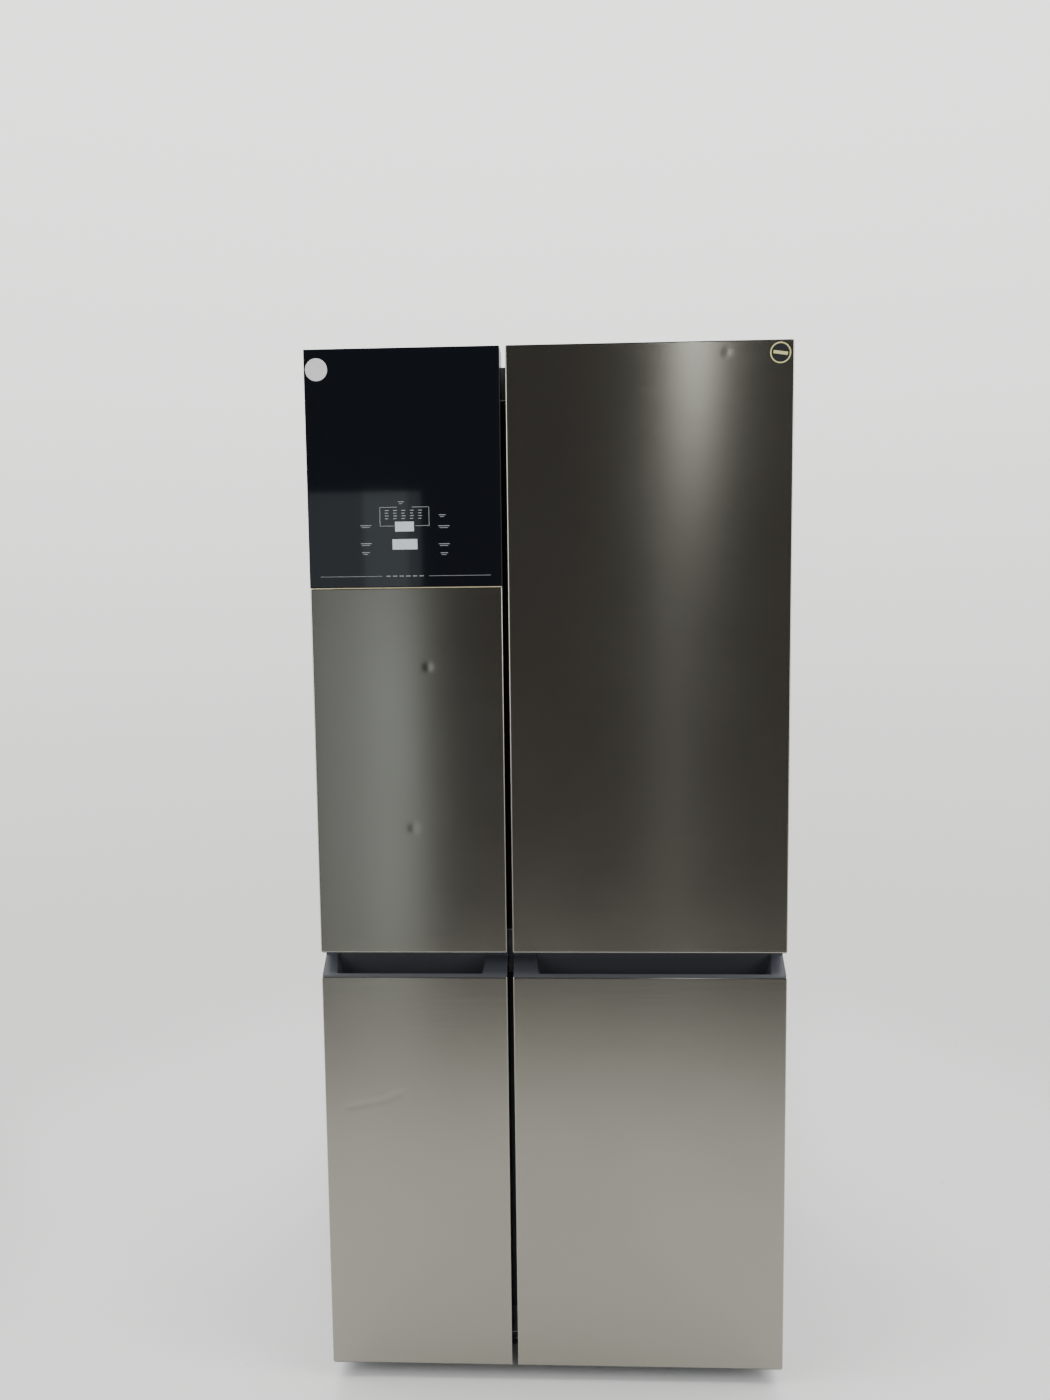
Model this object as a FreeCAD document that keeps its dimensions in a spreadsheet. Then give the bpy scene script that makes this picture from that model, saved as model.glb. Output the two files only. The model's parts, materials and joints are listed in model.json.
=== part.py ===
import FreeCAD, Part
import os
import re
import Sketcher

# A four-door refrigerator: two doors over two doors, hinged at the outer sides.
# Millimetres. +Z is up, the doors face -Y, and the origin is the middle of the footprint on the floor.

DIMENSIONS = (
    # overall
    ("overall_width", 830), ("overall_height", 1868), ("overall_depth", 745),
    # doors
    ("door_lift", 30), ("lower_door_height", 739), ("door_row_gap", 44.4),
    ("left_door_width", 334.6), ("door_gap", 9.7), ("door_thickness", 66),
    ("skin", 1), ("edge_radius", 4), ("liner_sheet", 2),
    ("cap_depth", 40), ("foot_cap_depth", 26), ("cap_sink", 35),
    ("glass_height", 404.6), ("glass_sheet", 4), ("seat_gap", 0.3),
    # grip recesses in the door ends
    ("grip_lip", 6), ("grip_reach", 40), ("grip_sink", 28), ("grip_outer", 20), ("grip_inner", 38),
    ("grip_draft", 14), ("cap_slope_rise", 28), ("cap_back_rise", 38), ("grip_fillet", 8),
    # seals and running clearances
    ("gasket_thickness", 12), ("gasket_width", 16), ("gasket_set", 1), ("running_gap", 0.3),
    # hinges and their covers
    ("hinge_from_side", 14), ("hinge_from_front", 52), ("hinge_plate", 3), ("hinge_half_width", 12),
    ("pin_radius", 5), ("pin_clearance", 0.1), ("pin_length", 18), ("recess_depth", 20),
    ("recess_front", 28), ("recess_inward", 62), ("hinge_space", 1.5), ("hinge_reach", 60),
    ("middle_plate_reach", 30), ("hinge_cover_span", 120), ("hinge_cover_depth", 96), ("cover_wall", 2),
    # cabinet
    ("cabinet_inset", 2), ("cabinet_drop", 20), ("cabinet_lift", 40), ("rear_spacing", 20),
    ("wall_thickness", 50), ("ceiling_thickness", 58), ("divider_thickness", 84),
    ("floor_thickness", 55), ("rear_insulation", 60), ("post_width", 60), ("post_depth", 28),
    ("rail_depth", 15),
    # machine compartment
    ("machine_depth", 225), ("machine_height", 235), ("hump_insulation", 48), ("base_sheet", 1.5),
    ("spacer_across", 300), ("gland_height", 40), ("can_height", 153), ("compressor_shift", 40),
    ("tray_height", 28), ("tray_wall", 2.5), ("tray_half_length", 85), ("tray_half_width", 70),
    # plinth
    ("kick_half_width", 340), ("kick_set_back", 10), ("kick_clearance", 7), ("kick_sheet", 2.5),
    ("kick_fold", 20),
    # drawers
    ("drawer_front", 77), ("drawer_side_gap", 6), ("drawer_rim", 6), ("drawer_wall", 2.5),
    ("drawer_face", 5), ("low_drawer_height", 205), ("drawer_gap", 14), ("drawer_floor_gap", 8),
    ("ledge_height", 8), ("ledge_reach", 10), ("duct_space", 68), ("duct_sheet", 3),
    ("crisper_front", 142), ("crisper_height", 196),
    # shelves and bins
    ("shelf_front", 190), ("shelf_glass", 4), ("top_shelf_room", 168.8), ("shelf_trim", 14),
    ("fridge_duct", 18), ("bin_back", 126), ("dyke_back", 106), ("dyke_width", 9), ("dyke_space", 3),
    ("left_dyke_room", 67.6), ("right_dyke_room", 61.7), ("bin_base", 1080), ("bin_headroom", 147.5),
    ("bin_height", 92), ("bin_wall", 2.5), ("dairy_gap", 18), ("dairy_height", 50),
    ("lid_sheet", 2.5), ("lid_axle", 20),
    ("lamp_half_width", 120), ("lamp_depth", 42), ("lamp_height", 9),
    ("pull_half_width", 55), ("pull_reach", 12),
    # feet and rollers
    ("foot_pad_radius", 20), ("foot_pad_height", 10), ("foot_stem_radius", 5), ("foot_across", 375),
    ("foot_set_back", 40), ("foot_collar_radius", 9), ("foot_collar_top", 18),
    ("roller_radius", 18), ("roller_width", 14), ("roller_axle", 4),
    ("roller_across", 330), ("roller_set_in", 50),
    # fans
    ("condenser_fan_radius", 70), ("freezer_fan_radius", 46), ("fan_clearance", 5), ("fan_hub", 18),
    # cooling coil
    ("coil_lift", 30), ("coil_inset", 40), ("coil_half_depth", 24), ("coil_height", 190),
)

PLACES = (
    ("door_side", "overall_width / 2"),
    ("door_front", "-overall_depth / 2"),
    ("door_back", "door_front + door_thickness"),
    ("cab_side", "door_side - cabinet_inset"),
    ("cab_front", "door_back + gasket_thickness + running_gap"),
    ("cab_back", "overall_depth / 2 - rear_spacing"),
    ("kick_front", "cab_front + kick_set_back"),
    ("compressor_x", "-cab_side / 2 - compressor_shift"),
    ("cab_top", "overall_height - cabinet_drop"),
    ("inner_side", "cab_side - wall_thickness"),
    ("lower_top", "door_lift + lower_door_height"),
    ("upper_low", "lower_top + door_row_gap"),
    ("divider_middle", "(lower_top + upper_low) / 2"),
    ("fridge_floor", "divider_middle + divider_thickness / 2"),
    ("fridge_ceiling", "cab_top - ceiling_thickness"),
    ("freezer_ceiling", "divider_middle - divider_thickness / 2"),
    ("freezer_floor", "cabinet_lift + floor_thickness"),
    ("split_left", "left_door_width - door_side"),
    ("split_right", "split_left + door_gap"),
    ("post_left", "(split_left + split_right - post_width) / 2"),
    ("post_right", "post_left + post_width"),
    ("hinge_across", "door_side - hinge_from_side"),
    ("hinge_line", "door_front + hinge_from_front"),
    ("glass_low", "overall_height - glass_height"),
    ("machine_front", "cab_back - machine_depth"),
    ("machine_top", "cabinet_lift + machine_height"),
    ("hump_front", "machine_front - hump_insulation"),
    ("hump_top", "machine_top + hump_insulation"),
    ("inner_back", "cab_back - rear_insulation"),
    ("duct_front", "inner_back - duct_space"),
    ("drawer_line", "hinge_line + drawer_front"),
    ("crisper_line", "hinge_line + crisper_front"),
    ("shelf_line", "door_front + shelf_front"),
    ("shelf_back", "inner_back - fridge_duct - 4"),
    ("low_shelf", "fridge_floor + crisper_height + 22"),
    ("shelf_pitch", "(fridge_ceiling - low_shelf - top_shelf_room) / 3"),
    ("bin_pitch", "(fridge_ceiling - bin_base - bin_headroom) / 2.5"),
    ("dairy_base", "bin_base + 2 * bin_pitch + bin_height + dairy_gap"),
    ("dyke_start", "cabinet_inset + wall_thickness + dyke_space - hinge_from_side"),
    ("left_dyke_end", "left_door_width - left_dyke_room"),
    ("right_dyke_end", "overall_width - left_door_width - door_gap - right_dyke_room"),
    ("foot_line", "cab_front + foot_set_back"),
    ("roller_line", "cab_back - roller_set_in"),
    ("base_low", "cabinet_lift - base_sheet"),
    ("fan_middle_y", "machine_front + machine_depth / 2"),
    ("fan_middle_z", "cabinet_lift + machine_height / 2 - 15"),
    ("freezer_fan_x", "(post_right + inner_side) / 2"),
    ("freezer_fan_z", "freezer_ceiling - 95"),
)

doc = FreeCAD.newDocument("french_door_refrigerator")
dims = doc.addObject("Spreadsheet::Sheet", "dims")
for row, (alias, amount) in enumerate(DIMENSIONS, start=1):
    dims.set(f"A{row}", alias)
    dims.set(f"B{row}", str(amount))
    dims.setAlias(f"B{row}", alias)
doc.recompute()

SHEET_NAMES = {alias for alias, _ in DIMENSIONS}
FORMULAS = dict(PLACES)


def bound(text):
    """The expression with each named value and place led back to the cells of the sheet."""
    def lead(match):
        word = match.group(0)
        if word in SHEET_NAMES:
            return f"dims.{word}"
        return f"({bound(FORMULAS[word])})" if word in FORMULAS else word
    return re.sub(r"[a-z][a-z_0-9]*", lead, str(text))


parts = {}


def number(text):
    """The present value of an expression."""
    return float(dims.evalExpression(bound(text)))


def keep(name, thing):
    """Makes an object the sub-part of this name."""
    thing.Label = name
    parts[name] = thing
    return thing


# ---------------------------------------------------------------- primitives and booleans

def box(x, y, z):
    """A block between three (low, high) pairs of expressions."""
    block = doc.addObject("Part::Box", "block")
    for axis, size, (low, high) in zip("xyz", ("Length", "Width", "Height"), (x, y, z)):
        block.setExpression(f"Placement.Base.{axis}", bound(low))
        block.setExpression(size, bound(f"({high}) - ({low})"))
    return block


TURNS = {
    "x": FreeCAD.Rotation(FreeCAD.Vector(0, 1, 0), 90),
    "y": FreeCAD.Rotation(FreeCAD.Vector(1, 0, 0), -90),
    "z": FreeCAD.Rotation(),
}


def rod(axis, centre, radius, low, high):
    """A cylinder along an axis; centre gives the other two coordinates in X, Y, Z order."""
    cylinder = doc.addObject("Part::Cylinder", "rod")
    cylinder.Placement.Rotation = TURNS[axis]
    cylinder.setExpression("Radius", bound(radius))
    cylinder.setExpression("Height", bound(f"({high}) - ({low})"))
    others = [letter for letter in "xyz" if letter != axis]
    for letter, place in zip(others, centre):
        cylinder.setExpression(f"Placement.Base.{letter}", bound(place))
    cylinder.setExpression(f"Placement.Base.{axis}", bound(low))
    return cylinder


def fuse(*things):
    if len(things) == 1:
        return things[0]
    whole = doc.addObject("Part::MultiFuse", "fusion")
    whole.Shapes = list(things)
    whole.Refine = True
    return whole


def cut(base, *tools):
    rest = doc.addObject("Part::Cut", "cut")
    rest.Base = base
    rest.Tool = fuse(*tools)
    rest.Refine = True
    return rest


def common(first, second):
    shared = doc.addObject("Part::Common", "shared")
    shared.Base = first
    shared.Tool = second
    return shared


def group(*things):
    """Several separate solids kept as one sub-part."""
    together = doc.addObject("Part::Compound", "group")
    together.Links = list(things)
    return together


# ---------------------------------------------------------------- bodies with sketches

def new_body(name):
    return doc.addObject("PartDesign::Body", name)


def sketch_of(body, role, offset, loops):
    """Closed outlines on an origin plane of the body, every corner tied to its two expressions."""
    sketch = body.newObject("Sketcher::SketchObject", "outline")
    plane = next(feature for feature in body.Origin.OriginFeatures if feature.Role == role)
    sketch.AttachmentSupport = [(plane, "")]
    sketch.MapMode = "FlatFace"
    sketch.setExpression("AttachmentOffset.Base.z", bound(offset))
    for loop in loops:
        first = sketch.GeometryCount
        corners = [FreeCAD.Vector(number(across), number(along), 0) for across, along in loop]
        for index, corner in enumerate(corners):
            sketch.addGeometry(Part.LineSegment(corner, corners[(index + 1) % len(corners)]))
        for index, (across, along) in enumerate(loop):
            after = first + (index + 1) % len(loop)
            sketch.addConstraint(Sketcher.Constraint("Coincident", first + index, 2, after, 1))
        for index, expressions in enumerate(loop):
            for kind, expression in zip(("DistanceX", "DistanceY"), expressions):
                rule = Sketcher.Constraint(kind, -1, 1, first + index, 1, number(expression))
                place = sketch.addConstraint(rule)
                sketch.setExpression(f"Constraints[{place}]", bound(expression))
    return sketch


# Each plane's normal: a sketch on XZ looks along -Y, the other two look along +Z and +X.
FORWARD = {"XY_Plane": 1, "YZ_Plane": 1, "XZ_Plane": -1}


def pad(body, role, span, *loops):
    """Adds the outlines' area between two planes, low to high along the world axis."""
    low, high = span
    start = low if FORWARD[role] > 0 else f"-({high})"
    feature = body.newObject("PartDesign::Pad", "pad")
    feature.Profile = sketch_of(body, role, start, loops)
    feature.setExpression("Length", bound(f"({high}) - ({low})"))
    return feature


def pocket(body, role, span, *loops):
    """Removes the outlines' area between two planes, low to high along the world axis."""
    low, high = span
    start = high if FORWARD[role] > 0 else f"-({low})"
    sketch = sketch_of(body, role, start, loops)
    doc.recompute()
    feature = body.newObject("PartDesign::Pocket", "pocket")
    feature.Profile = sketch
    feature.setExpression("Length", bound(f"({high}) - ({low})"))
    return feature


def repeat(body, feature, count, pitch, rows=1, row_pitch="1"):
    """Copies a pocket along +X, and along +Z when there is more than one row."""
    pattern = body.newObject("PartDesign::LinearPattern", "rows")
    pattern.Originals = [feature]
    lines = {line.Role: line for line in body.Origin.OriginFeatures}
    pattern.Direction = (lines["X_Axis"], [""])
    pattern.Mode = "Spacing"
    pattern.Occurrences = count
    pattern.setExpression("Offset", bound(pitch))
    if rows > 1:
        pattern.Direction2 = (lines["Z_Axis"], [""])
        pattern.Mode2 = "Spacing"
        pattern.Occurrences2 = rows
        pattern.setExpression("Offset2", bound(row_pitch))
    body.Tip = pattern
    return pattern


def spin(body, outline):
    """Turns a (radius, height) outline about the body's own Z axis."""
    feature = body.newObject("PartDesign::Revolution", "turned")
    feature.Profile = sketch_of(body, "XZ_Plane", "0", [outline])
    axis = next(line for line in body.Origin.OriginFeatures if line.Role == "Z_Axis")
    feature.ReferenceAxis = (axis, [""])
    feature.Angle = 360
    return feature


def round_edges(body, radius, wanted):
    """Fillets the edges of the body's last feature that pass the test."""
    doc.recompute()
    base = body.Tip
    names = [f"Edge{index}" for index, edge in enumerate(base.Shape.Edges, start=1) if wanted(edge)]
    feature = body.newObject("PartDesign::Fillet", "rounding")
    feature.Base = (base, names)
    feature.setExpression("Radius", bound(radius))
    return feature


def upright_at(*corners):
    """A test for straight edges along Z at the given (x, y) expressions."""
    spots = [(number(across), number(along)) for across, along in corners]

    def wanted(edge):
        ends = [vertex.Point for vertex in edge.Vertexes]
        if len(ends) != 2 or abs(ends[0].x - ends[1].x) > 1e-6 or abs(ends[0].y - ends[1].y) > 1e-6:
            return False
        return any(abs(ends[0].x - x) < 1e-4 and abs(ends[0].y - y) < 1e-4 for x, y in spots)
    return wanted


def oblong(x, y):
    return [(x[0], y[0]), (x[1], y[0]), (x[1], y[1]), (x[0], y[1])]


def slab(body, x, y, z):
    """A block as a feature of a body."""
    return pad(body, "XY_Plane", z, oblong(x, y))


# ---------------------------------------------------------------- doors

DOORS = {
    "left_upper": {"outer": "-door_side", "inward": 1, "inner": "split_left",
                   "low": "upper_low", "top": "overall_height", "dyke_end": "left_dyke_end"},
    "right_upper": {"outer": "door_side", "inward": -1, "inner": "split_right",
                    "low": "upper_low", "top": "overall_height", "dyke_end": "right_dyke_end"},
    "left_lower": {"outer": "-door_side", "inward": 1, "inner": "split_left",
                   "low": "door_lift", "top": "lower_top"},
    "right_lower": {"outer": "door_side", "inward": -1, "inner": "split_right",
                    "low": "door_lift", "top": "lower_top"},
}


def inward(door, start, end):
    """The (low, high) pair between two distances measured inward from the door's hinge side."""
    outer = door["outer"]
    if door["inward"] > 0:
        return (f"{outer} + ({start})", f"{outer} + ({end})")
    return (f"{outer} - ({end})", f"{outer} - ({start})")


def shrink(pair, amount):
    return (f"{pair[0]} + ({amount})", f"{pair[1]} - ({amount})")


def door_width(door):
    """The door's (low, high) pair along X."""
    if door["inward"] > 0:
        return (door["outer"], door["inner"])
    return (door["inner"], door["outer"])


def hinge_x(door):
    return "-hinge_across" if door["inward"] > 0 else "hinge_across"


def door_skin(name, door):
    """Sheet steel bent round the front and both sides."""
    low, high = door_width(door)
    body = new_body(name)
    outline = [(low, "door_front"), (high, "door_front"), (high, "door_back - liner_sheet"),
               (f"{high} - skin", "door_back - liner_sheet"), (f"{high} - skin", "door_front + skin"),
               (f"{low} + skin", "door_front + skin"), (f"{low} + skin", "door_back - liner_sheet"),
               (low, "door_back - liner_sheet")]
    pad(body, "XY_Plane", (door["low"], door["top"]), outline)
    round_edges(body, "edge_radius", upright_at((low, "door_front"), (high, "door_front")))
    round_edges(body, "edge_radius - skin",
                upright_at((f"{low} + skin", "door_front + skin"), (f"{high} - skin", "door_front + skin")))
    if "upper" in name:
        pocket(body, "XY_Plane", ("overall_height - recess_depth", "overall_height + 1"),
               oblong(inward(door, "-1", "skin + 1"), ("hinge_line - recess_front", "door_back + 1")))
    if name == "left_upper_skin":
        pocket(body, "XY_Plane", ("glass_low - seat_gap", "overall_height + 1"),
               oblong((f"{low} - 1", f"{high} + 1"), ("door_front - 1", "door_front + glass_sheet + seat_gap")))
    return body


def rounded_block(name, x, y, z, radius):
    """A block with its two front upright edges rounded."""
    body = new_body(name)
    slab(body, x, y, z)
    round_edges(body, radius, upright_at((x[0], y[0]), (x[1], y[0])))
    return body


def door_caps(name, door):
    """The moulded end pieces that close the skin at the top and bottom."""
    across = shrink(door_width(door), "skin")
    depth = ("door_front + skin", "door_back - liner_sheet")
    pin_hole = "pin_radius + pin_clearance"
    at_pin = (hinge_x(door), "hinge_line")
    grip_across = grip_span(door)
    if "upper" in name:
        front = "door_front + glass_sheet + seat_gap" if "left" in name else "door_front + skin"
        top = rounded_block("top_cap", across, (front, depth[1]),
                            ("overall_height - cap_depth", "overall_height"), "edge_radius - skin")
        recess = box(inward(door, "-1", "recess_inward"), ("hinge_line - recess_front", "door_back + 1"),
                     ("overall_height - recess_depth", "overall_height + 1"))
        top = cut(top, recess, rod("z", at_pin, pin_hole, "overall_height - recess_depth - pin_length",
                                   "overall_height"))
        low = rounded_block("low_cap", across, depth, ("upper_low", "upper_low + cap_depth"),
                            "edge_radius - skin")
        low = cut(low, grip_tool(grip_across, "upper_low", -1),
                  rod("z", at_pin, pin_hole, "upper_low - 1", "upper_low + pin_length"))
        return keep(name, group(top, low))
    top = new_body("top_cap")
    front, back = depth
    pad(top, "YZ_Plane", across,
        [(front, "lower_top - cap_sink"), (back, "lower_top - cap_sink"), (back, "lower_top"),
         ("door_back", "lower_top"), ("door_back", "lower_top + cap_back_rise"),
         ("door_front + grip_reach", "lower_top + cap_back_rise"),
         ("door_front + grip_reach - 4", "lower_top + cap_slope_rise"),
         (f"{front} + 2", "lower_top + 2"), (front, "lower_top")])
    round_edges(top, "edge_radius - skin", upright_at((across[0], front), (across[1], front)))
    top = cut(top, grip_tool(grip_across, "lower_top", 1),
              rod("z", at_pin, pin_hole, "lower_top + cap_back_rise - pin_length",
                  "lower_top + cap_back_rise + 1"))
    low = rounded_block("foot_cap", across, depth, ("door_lift", "door_lift + foot_cap_depth"),
                        "edge_radius - skin")
    low = cut(low, rod("z", at_pin, pin_hole, "door_lift - 1", "door_lift + pin_length"))
    return keep(name, group(top, low))


def grip_span(door):
    """The grip recess's span along X at the door end: a short block outside, a long one inside."""
    low, high = door_width(door)
    if door["inward"] > 0:
        return (f"{low} + grip_outer", f"{high} - grip_inner")
    return (f"{low} + grip_inner", f"{high} - grip_outer")


def grip_tool(across, edge, up):
    """The hollow for the fingers: its ends lean in with depth and its floor has a cut corner."""
    low, high = across
    sign = "+" if up > 0 else "-"
    deep = "-" if up > 0 else "+"
    mouth = f"{edge} {sign} (cap_back_rise + 1)" if up > 0 else f"{edge} - 1"
    floor = f"{edge} {deep} grip_sink"
    ends = new_body("grip_ends")
    pad(ends, "XZ_Plane", ("door_front + grip_lip", "door_front + grip_reach"),
        [(f"{low} + grip_draft", floor), (f"{high} - grip_draft", floor), (high, mouth), (low, mouth)])
    section = new_body("grip_section")
    pad(section, "YZ_Plane", (f"{low} - 1", f"{high} + 1"),
        [("door_front + grip_lip", mouth), ("door_front + grip_lip", f"{floor} {sign} grip_fillet"),
         ("door_front + grip_lip + grip_fillet", floor), ("door_front + grip_reach - grip_fillet", floor),
         ("door_front + grip_reach", f"{floor} {sign} grip_fillet"), ("door_front + grip_reach", mouth)])
    return common(ends, section)


def door_core(name, door):
    """Foam between the caps, the skin and the liner."""
    across = shrink(door_width(door), "skin")
    low = f"{door['low']} + cap_depth" if "upper" in name else f"{door['low']} + foot_cap_depth"
    high = f"{door['top']} - cap_depth" if "upper" in name else f"{door['top']} - cap_sink"
    core = rounded_block("core", across, ("door_front + skin", "door_back - liner_sheet"), (low, high),
                         "edge_radius - skin")
    if name == "left_upper_core":
        behind_glass = box(door_width(door), ("door_front", "door_front + glass_sheet + seat_gap"),
                           ("glass_low - seat_gap", "overall_height"))
        core = cut(core, behind_glass, board_room())
    return keep(name, core)


def board_room():
    """The room behind the glass for the control board."""
    middle = "(-door_side + left_door_width / 2)"
    return box((f"{middle} - 62", f"{middle} + 62"), ("door_front", "door_front + glass_sheet + seat_gap + 9"),
               ("glass_low + 46", "glass_low + 154"))


def dyke_spans(door):
    """The two upright ridges that carry the bins, as (low, high) pairs along X."""
    near = inward(door, "hinge_from_side + dyke_start", "hinge_from_side + dyke_start + dyke_width")
    far = inward(door, f"hinge_from_side + {door['dyke_end']} - dyke_width",
                 f"hinge_from_side + {door['dyke_end']}")
    return near, far


def door_liner(name, door):
    """The white inner sheet; on the upper doors it has the ridges and bosses for the bins."""
    across = shrink(door_width(door), "skin")
    low = f"{door['low']} + 0.5"
    pieces = [box(across, ("door_back - liner_sheet", "door_back"), (low, f"{door['top']} - recess_depth"
                                                                     if "upper" in name else "lower_top"))]
    if "upper" in name:
        ridge_height = ("bin_base - 20", "fridge_ceiling - 20")
        for ridge in dyke_spans(door):
            pieces.append(box(ridge, ("door_back", "hinge_line + dyke_back"), ridge_height))
        for level in bin_levels(door):
            for side in boss_spans(door):
                pieces.append(box(side, ("door_back", "hinge_line + dyke_back - 20"),
                                  (f"{level} - seat_gap - 8", f"{level} - seat_gap")))
    return keep(name, fuse(*pieces))


def boss_spans(door):
    near = inward(door, "hinge_from_side + dyke_start + dyke_width",
                  "hinge_from_side + dyke_start + dyke_width + 8")
    far = inward(door, f"hinge_from_side + {door['dyke_end']} - dyke_width - 8",
                 f"hinge_from_side + {door['dyke_end']} - dyke_width")
    return near, far


def bin_levels(door):
    levels = [f"(bin_base + {step} * bin_pitch)" for step in range(3)]
    return levels + (["dairy_base"] if door["inward"] < 0 else [])


def bin_span(door):
    return inward(door, "hinge_from_side + dyke_start + dyke_width + seat_gap",
                  f"hinge_from_side + {door['dyke_end']} - dyke_width - seat_gap")


def door_bins(name, door):
    """Open trays between the ridges."""
    across = bin_span(door)
    along = ("door_back + seat_gap", "hinge_line + bin_back")
    trays = []
    for level in bin_levels(door):
        height = "dairy_height" if level == "dairy_base" else "bin_height"
        tray = new_body("tray")
        slab(tray, across, along, (level, f"{level} + {height}"))
        round_edges(tray, "6", upright_at((across[0], along[1]), (across[1], along[1])))
        pocket(tray, "XY_Plane", (f"{level} + bin_wall", f"{level} + {height} + 1"),
               oblong(shrink(across, "bin_wall"), shrink(along, "bin_wall")))
        trays.append(tray)
    return keep(name, group(*trays))


def compartment(door):
    """The opening that the door closes: (low, high) along X and along Z."""
    if door["inward"] > 0:
        across = ("-inner_side", "post_left")
    else:
        across = ("post_right", "inner_side")
    if door["low"] == "upper_low":
        return across, ("fridge_floor", "fridge_ceiling")
    return across, ("freezer_floor", "freezer_ceiling")


def door_gasket(name, door):
    """The magnetic seal, a frame on the back of the liner."""
    across, upright = compartment(door)
    body = new_body(name)
    grown = "-(gasket_set + gasket_width)"
    pad(body, "XZ_Plane", ("door_back", "door_back + gasket_thickness"),
        oblong(shrink(across, grown), shrink(upright, grown)),
        oblong(shrink(across, "-gasket_set"), shrink(upright, "-gasket_set")))
    return keep(name, body)


def doors():
    for key, door in DOORS.items():
        keep(f"{key}_skin", door_skin(f"{key}_skin", door))
        door_core(f"{key}_core", door)
        door_liner(f"{key}_liner", door)
        door_gasket(f"{key}_gasket", door)
        door_caps(f"{key}_caps", door)
    door_bins("left_bins", DOORS["left_upper"])
    door_bins("right_bins", DOORS["right_upper"])


def control_panel():
    """A glass sheet over the upper part of the left door, with its board behind it."""
    keep("control_glass", box(door_width(DOORS["left_upper"]), ("door_front", "door_front + glass_sheet"),
                              ("glass_low", "overall_height")))
    middle = "(-door_side + left_door_width / 2)"
    face = "door_front + glass_sheet"
    board = box((f"{middle} - 58", f"{middle} + 58"), (face, f"{face} + 2"), ("glass_low + 50", "glass_low + 150"))
    chips = [box((f"{middle} + {left}", f"{middle} + {left + wide}"), (f"{face} + 2", f"{face} + 2 + {tall}"),
                 (f"glass_low + {low}", f"glass_low + {low + high}"))
             for left, wide, low, high, tall in ((-46, 22, 108, 20, 4), (-8, 16, 112, 16, 3), (24, 26, 64, 12, 6))]
    keep("control_board", fuse(board, *chips))


def dairy_lid():
    """The flap over the top tray of the right door, on two stub pins."""
    across = shrink(bin_span(DOORS["right_upper"]), "bin_wall + 1")
    axle = ("door_back + lid_axle", "dairy_base + dairy_height - 8")
    sheet = box(across, ("door_back + lid_axle - 5", "hinge_line + bin_back - 4"),
                ("dairy_base + dairy_height + 0.8", "dairy_base + dairy_height + 0.8 + lid_sheet"))
    ears = [box((low, f"{low} + 4"), ("door_back + lid_axle - 5", "door_back + lid_axle + 5"),
                ("dairy_base + dairy_height - 12", "dairy_base + dairy_height + 1.8"))
            for low in (across[0], f"{across[1]} - 4")]
    pin = rod("x", axle, "2.5", f"{across[0]} - 2.5", f"{across[1]} + 2.5")
    middle = box((f"{across[0]} + 4", f"{across[1]} - 4"), ("door_back", "door_back + lid_axle + 8"),
                 ("dairy_base + dairy_height - 20", "dairy_base + dairy_height - 1"))
    keep("dairy_lid", fuse(sheet, *ears, cut(pin, middle)))
    holes = rod("x", axle, "2.6", f"{across[0]} - 10", f"{across[1]} + 10")
    bins = parts["right_bins"]
    keep("right_bins", cut(bins, holes))
    bins.Label = "right_trays"


# ---------------------------------------------------------------- cabinet

def freezer_outline(grow):
    """The freezer's side outline with its step over the machine compartment, grown outward."""
    return [("cab_front - 1" if grow == "0" else "cab_front", f"freezer_floor - ({grow})"),
            (f"hump_front - liner_sheet + ({grow})", f"freezer_floor - ({grow})"),
            (f"hump_front - liner_sheet + ({grow})", f"hump_top + liner_sheet - ({grow})"),
            (f"inner_back + ({grow})", f"hump_top + liner_sheet - ({grow})"),
            (f"inner_back + ({grow})", f"freezer_ceiling + ({grow})"),
            ("cab_front - 1" if grow == "0" else "cab_front", f"freezer_ceiling + ({grow})")]


FREEZERS = {"left": ("-inner_side", "post_left"), "right": ("post_right", "inner_side")}


def freezer_hull(side):
    body = new_body("freezer_hull")
    pad(body, "YZ_Plane", shrink(FREEZERS[side], "-liner_sheet"), freezer_outline("liner_sheet"))
    return body


def fridge_hull():
    return box(("-inner_side - liner_sheet", "inner_side + liner_sheet"),
               ("cab_front", "inner_back + liner_sheet"),
               ("fridge_floor - liner_sheet", "fridge_ceiling + liner_sheet"))


def casing():
    """The painted steel wrapper: two sides, the top and the front flange."""
    body = new_body("outer_casing")
    slab(body, ("-cab_side", "cab_side"), ("cab_front", "cab_back"), ("cabinet_lift", "cab_top"))
    round_edges(body, "3", upright_at(("-cab_side", "cab_front"), ("cab_side", "cab_front")))
    pocket(body, "XZ_Plane", ("cab_front + skin", "cab_back + 1"),
           oblong(("-cab_side + skin", "cab_side - skin"), ("cabinet_lift - 1", "cab_top - skin")))
    pocket(body, "XZ_Plane", ("cab_front - 1", "cab_front + skin + 1"),
           oblong(("-inner_side - liner_sheet", "inner_side + liner_sheet"),
                  ("freezer_floor - liner_sheet", "fridge_ceiling + liner_sheet")))
    keep("outer_casing", body)
    keep("rear_panel", box(("-cab_side", "cab_side"), ("cab_back", "cab_back + 1"), ("machine_top", "cab_top")))


def front_frame():
    """The cross rail between the rows and the two upright posts between the columns."""
    keep("divider_rail", box(("-inner_side - liner_sheet", "inner_side + liner_sheet"),
                             ("cab_front", "cab_front + rail_depth"),
                             ("freezer_ceiling + liner_sheet", "fridge_floor - liner_sheet")))
    upper = box(("post_left", "post_right"), ("cab_front", "cab_front + post_depth"),
                ("fridge_floor", "fridge_ceiling"))
    lower = box(("post_left + liner_sheet", "post_right - liner_sheet"), ("cab_front", "cab_front + rail_depth"),
                ("freezer_floor - liner_sheet", "freezer_ceiling + liner_sheet"))
    keep("centre_posts", group(upper, lower))


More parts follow.
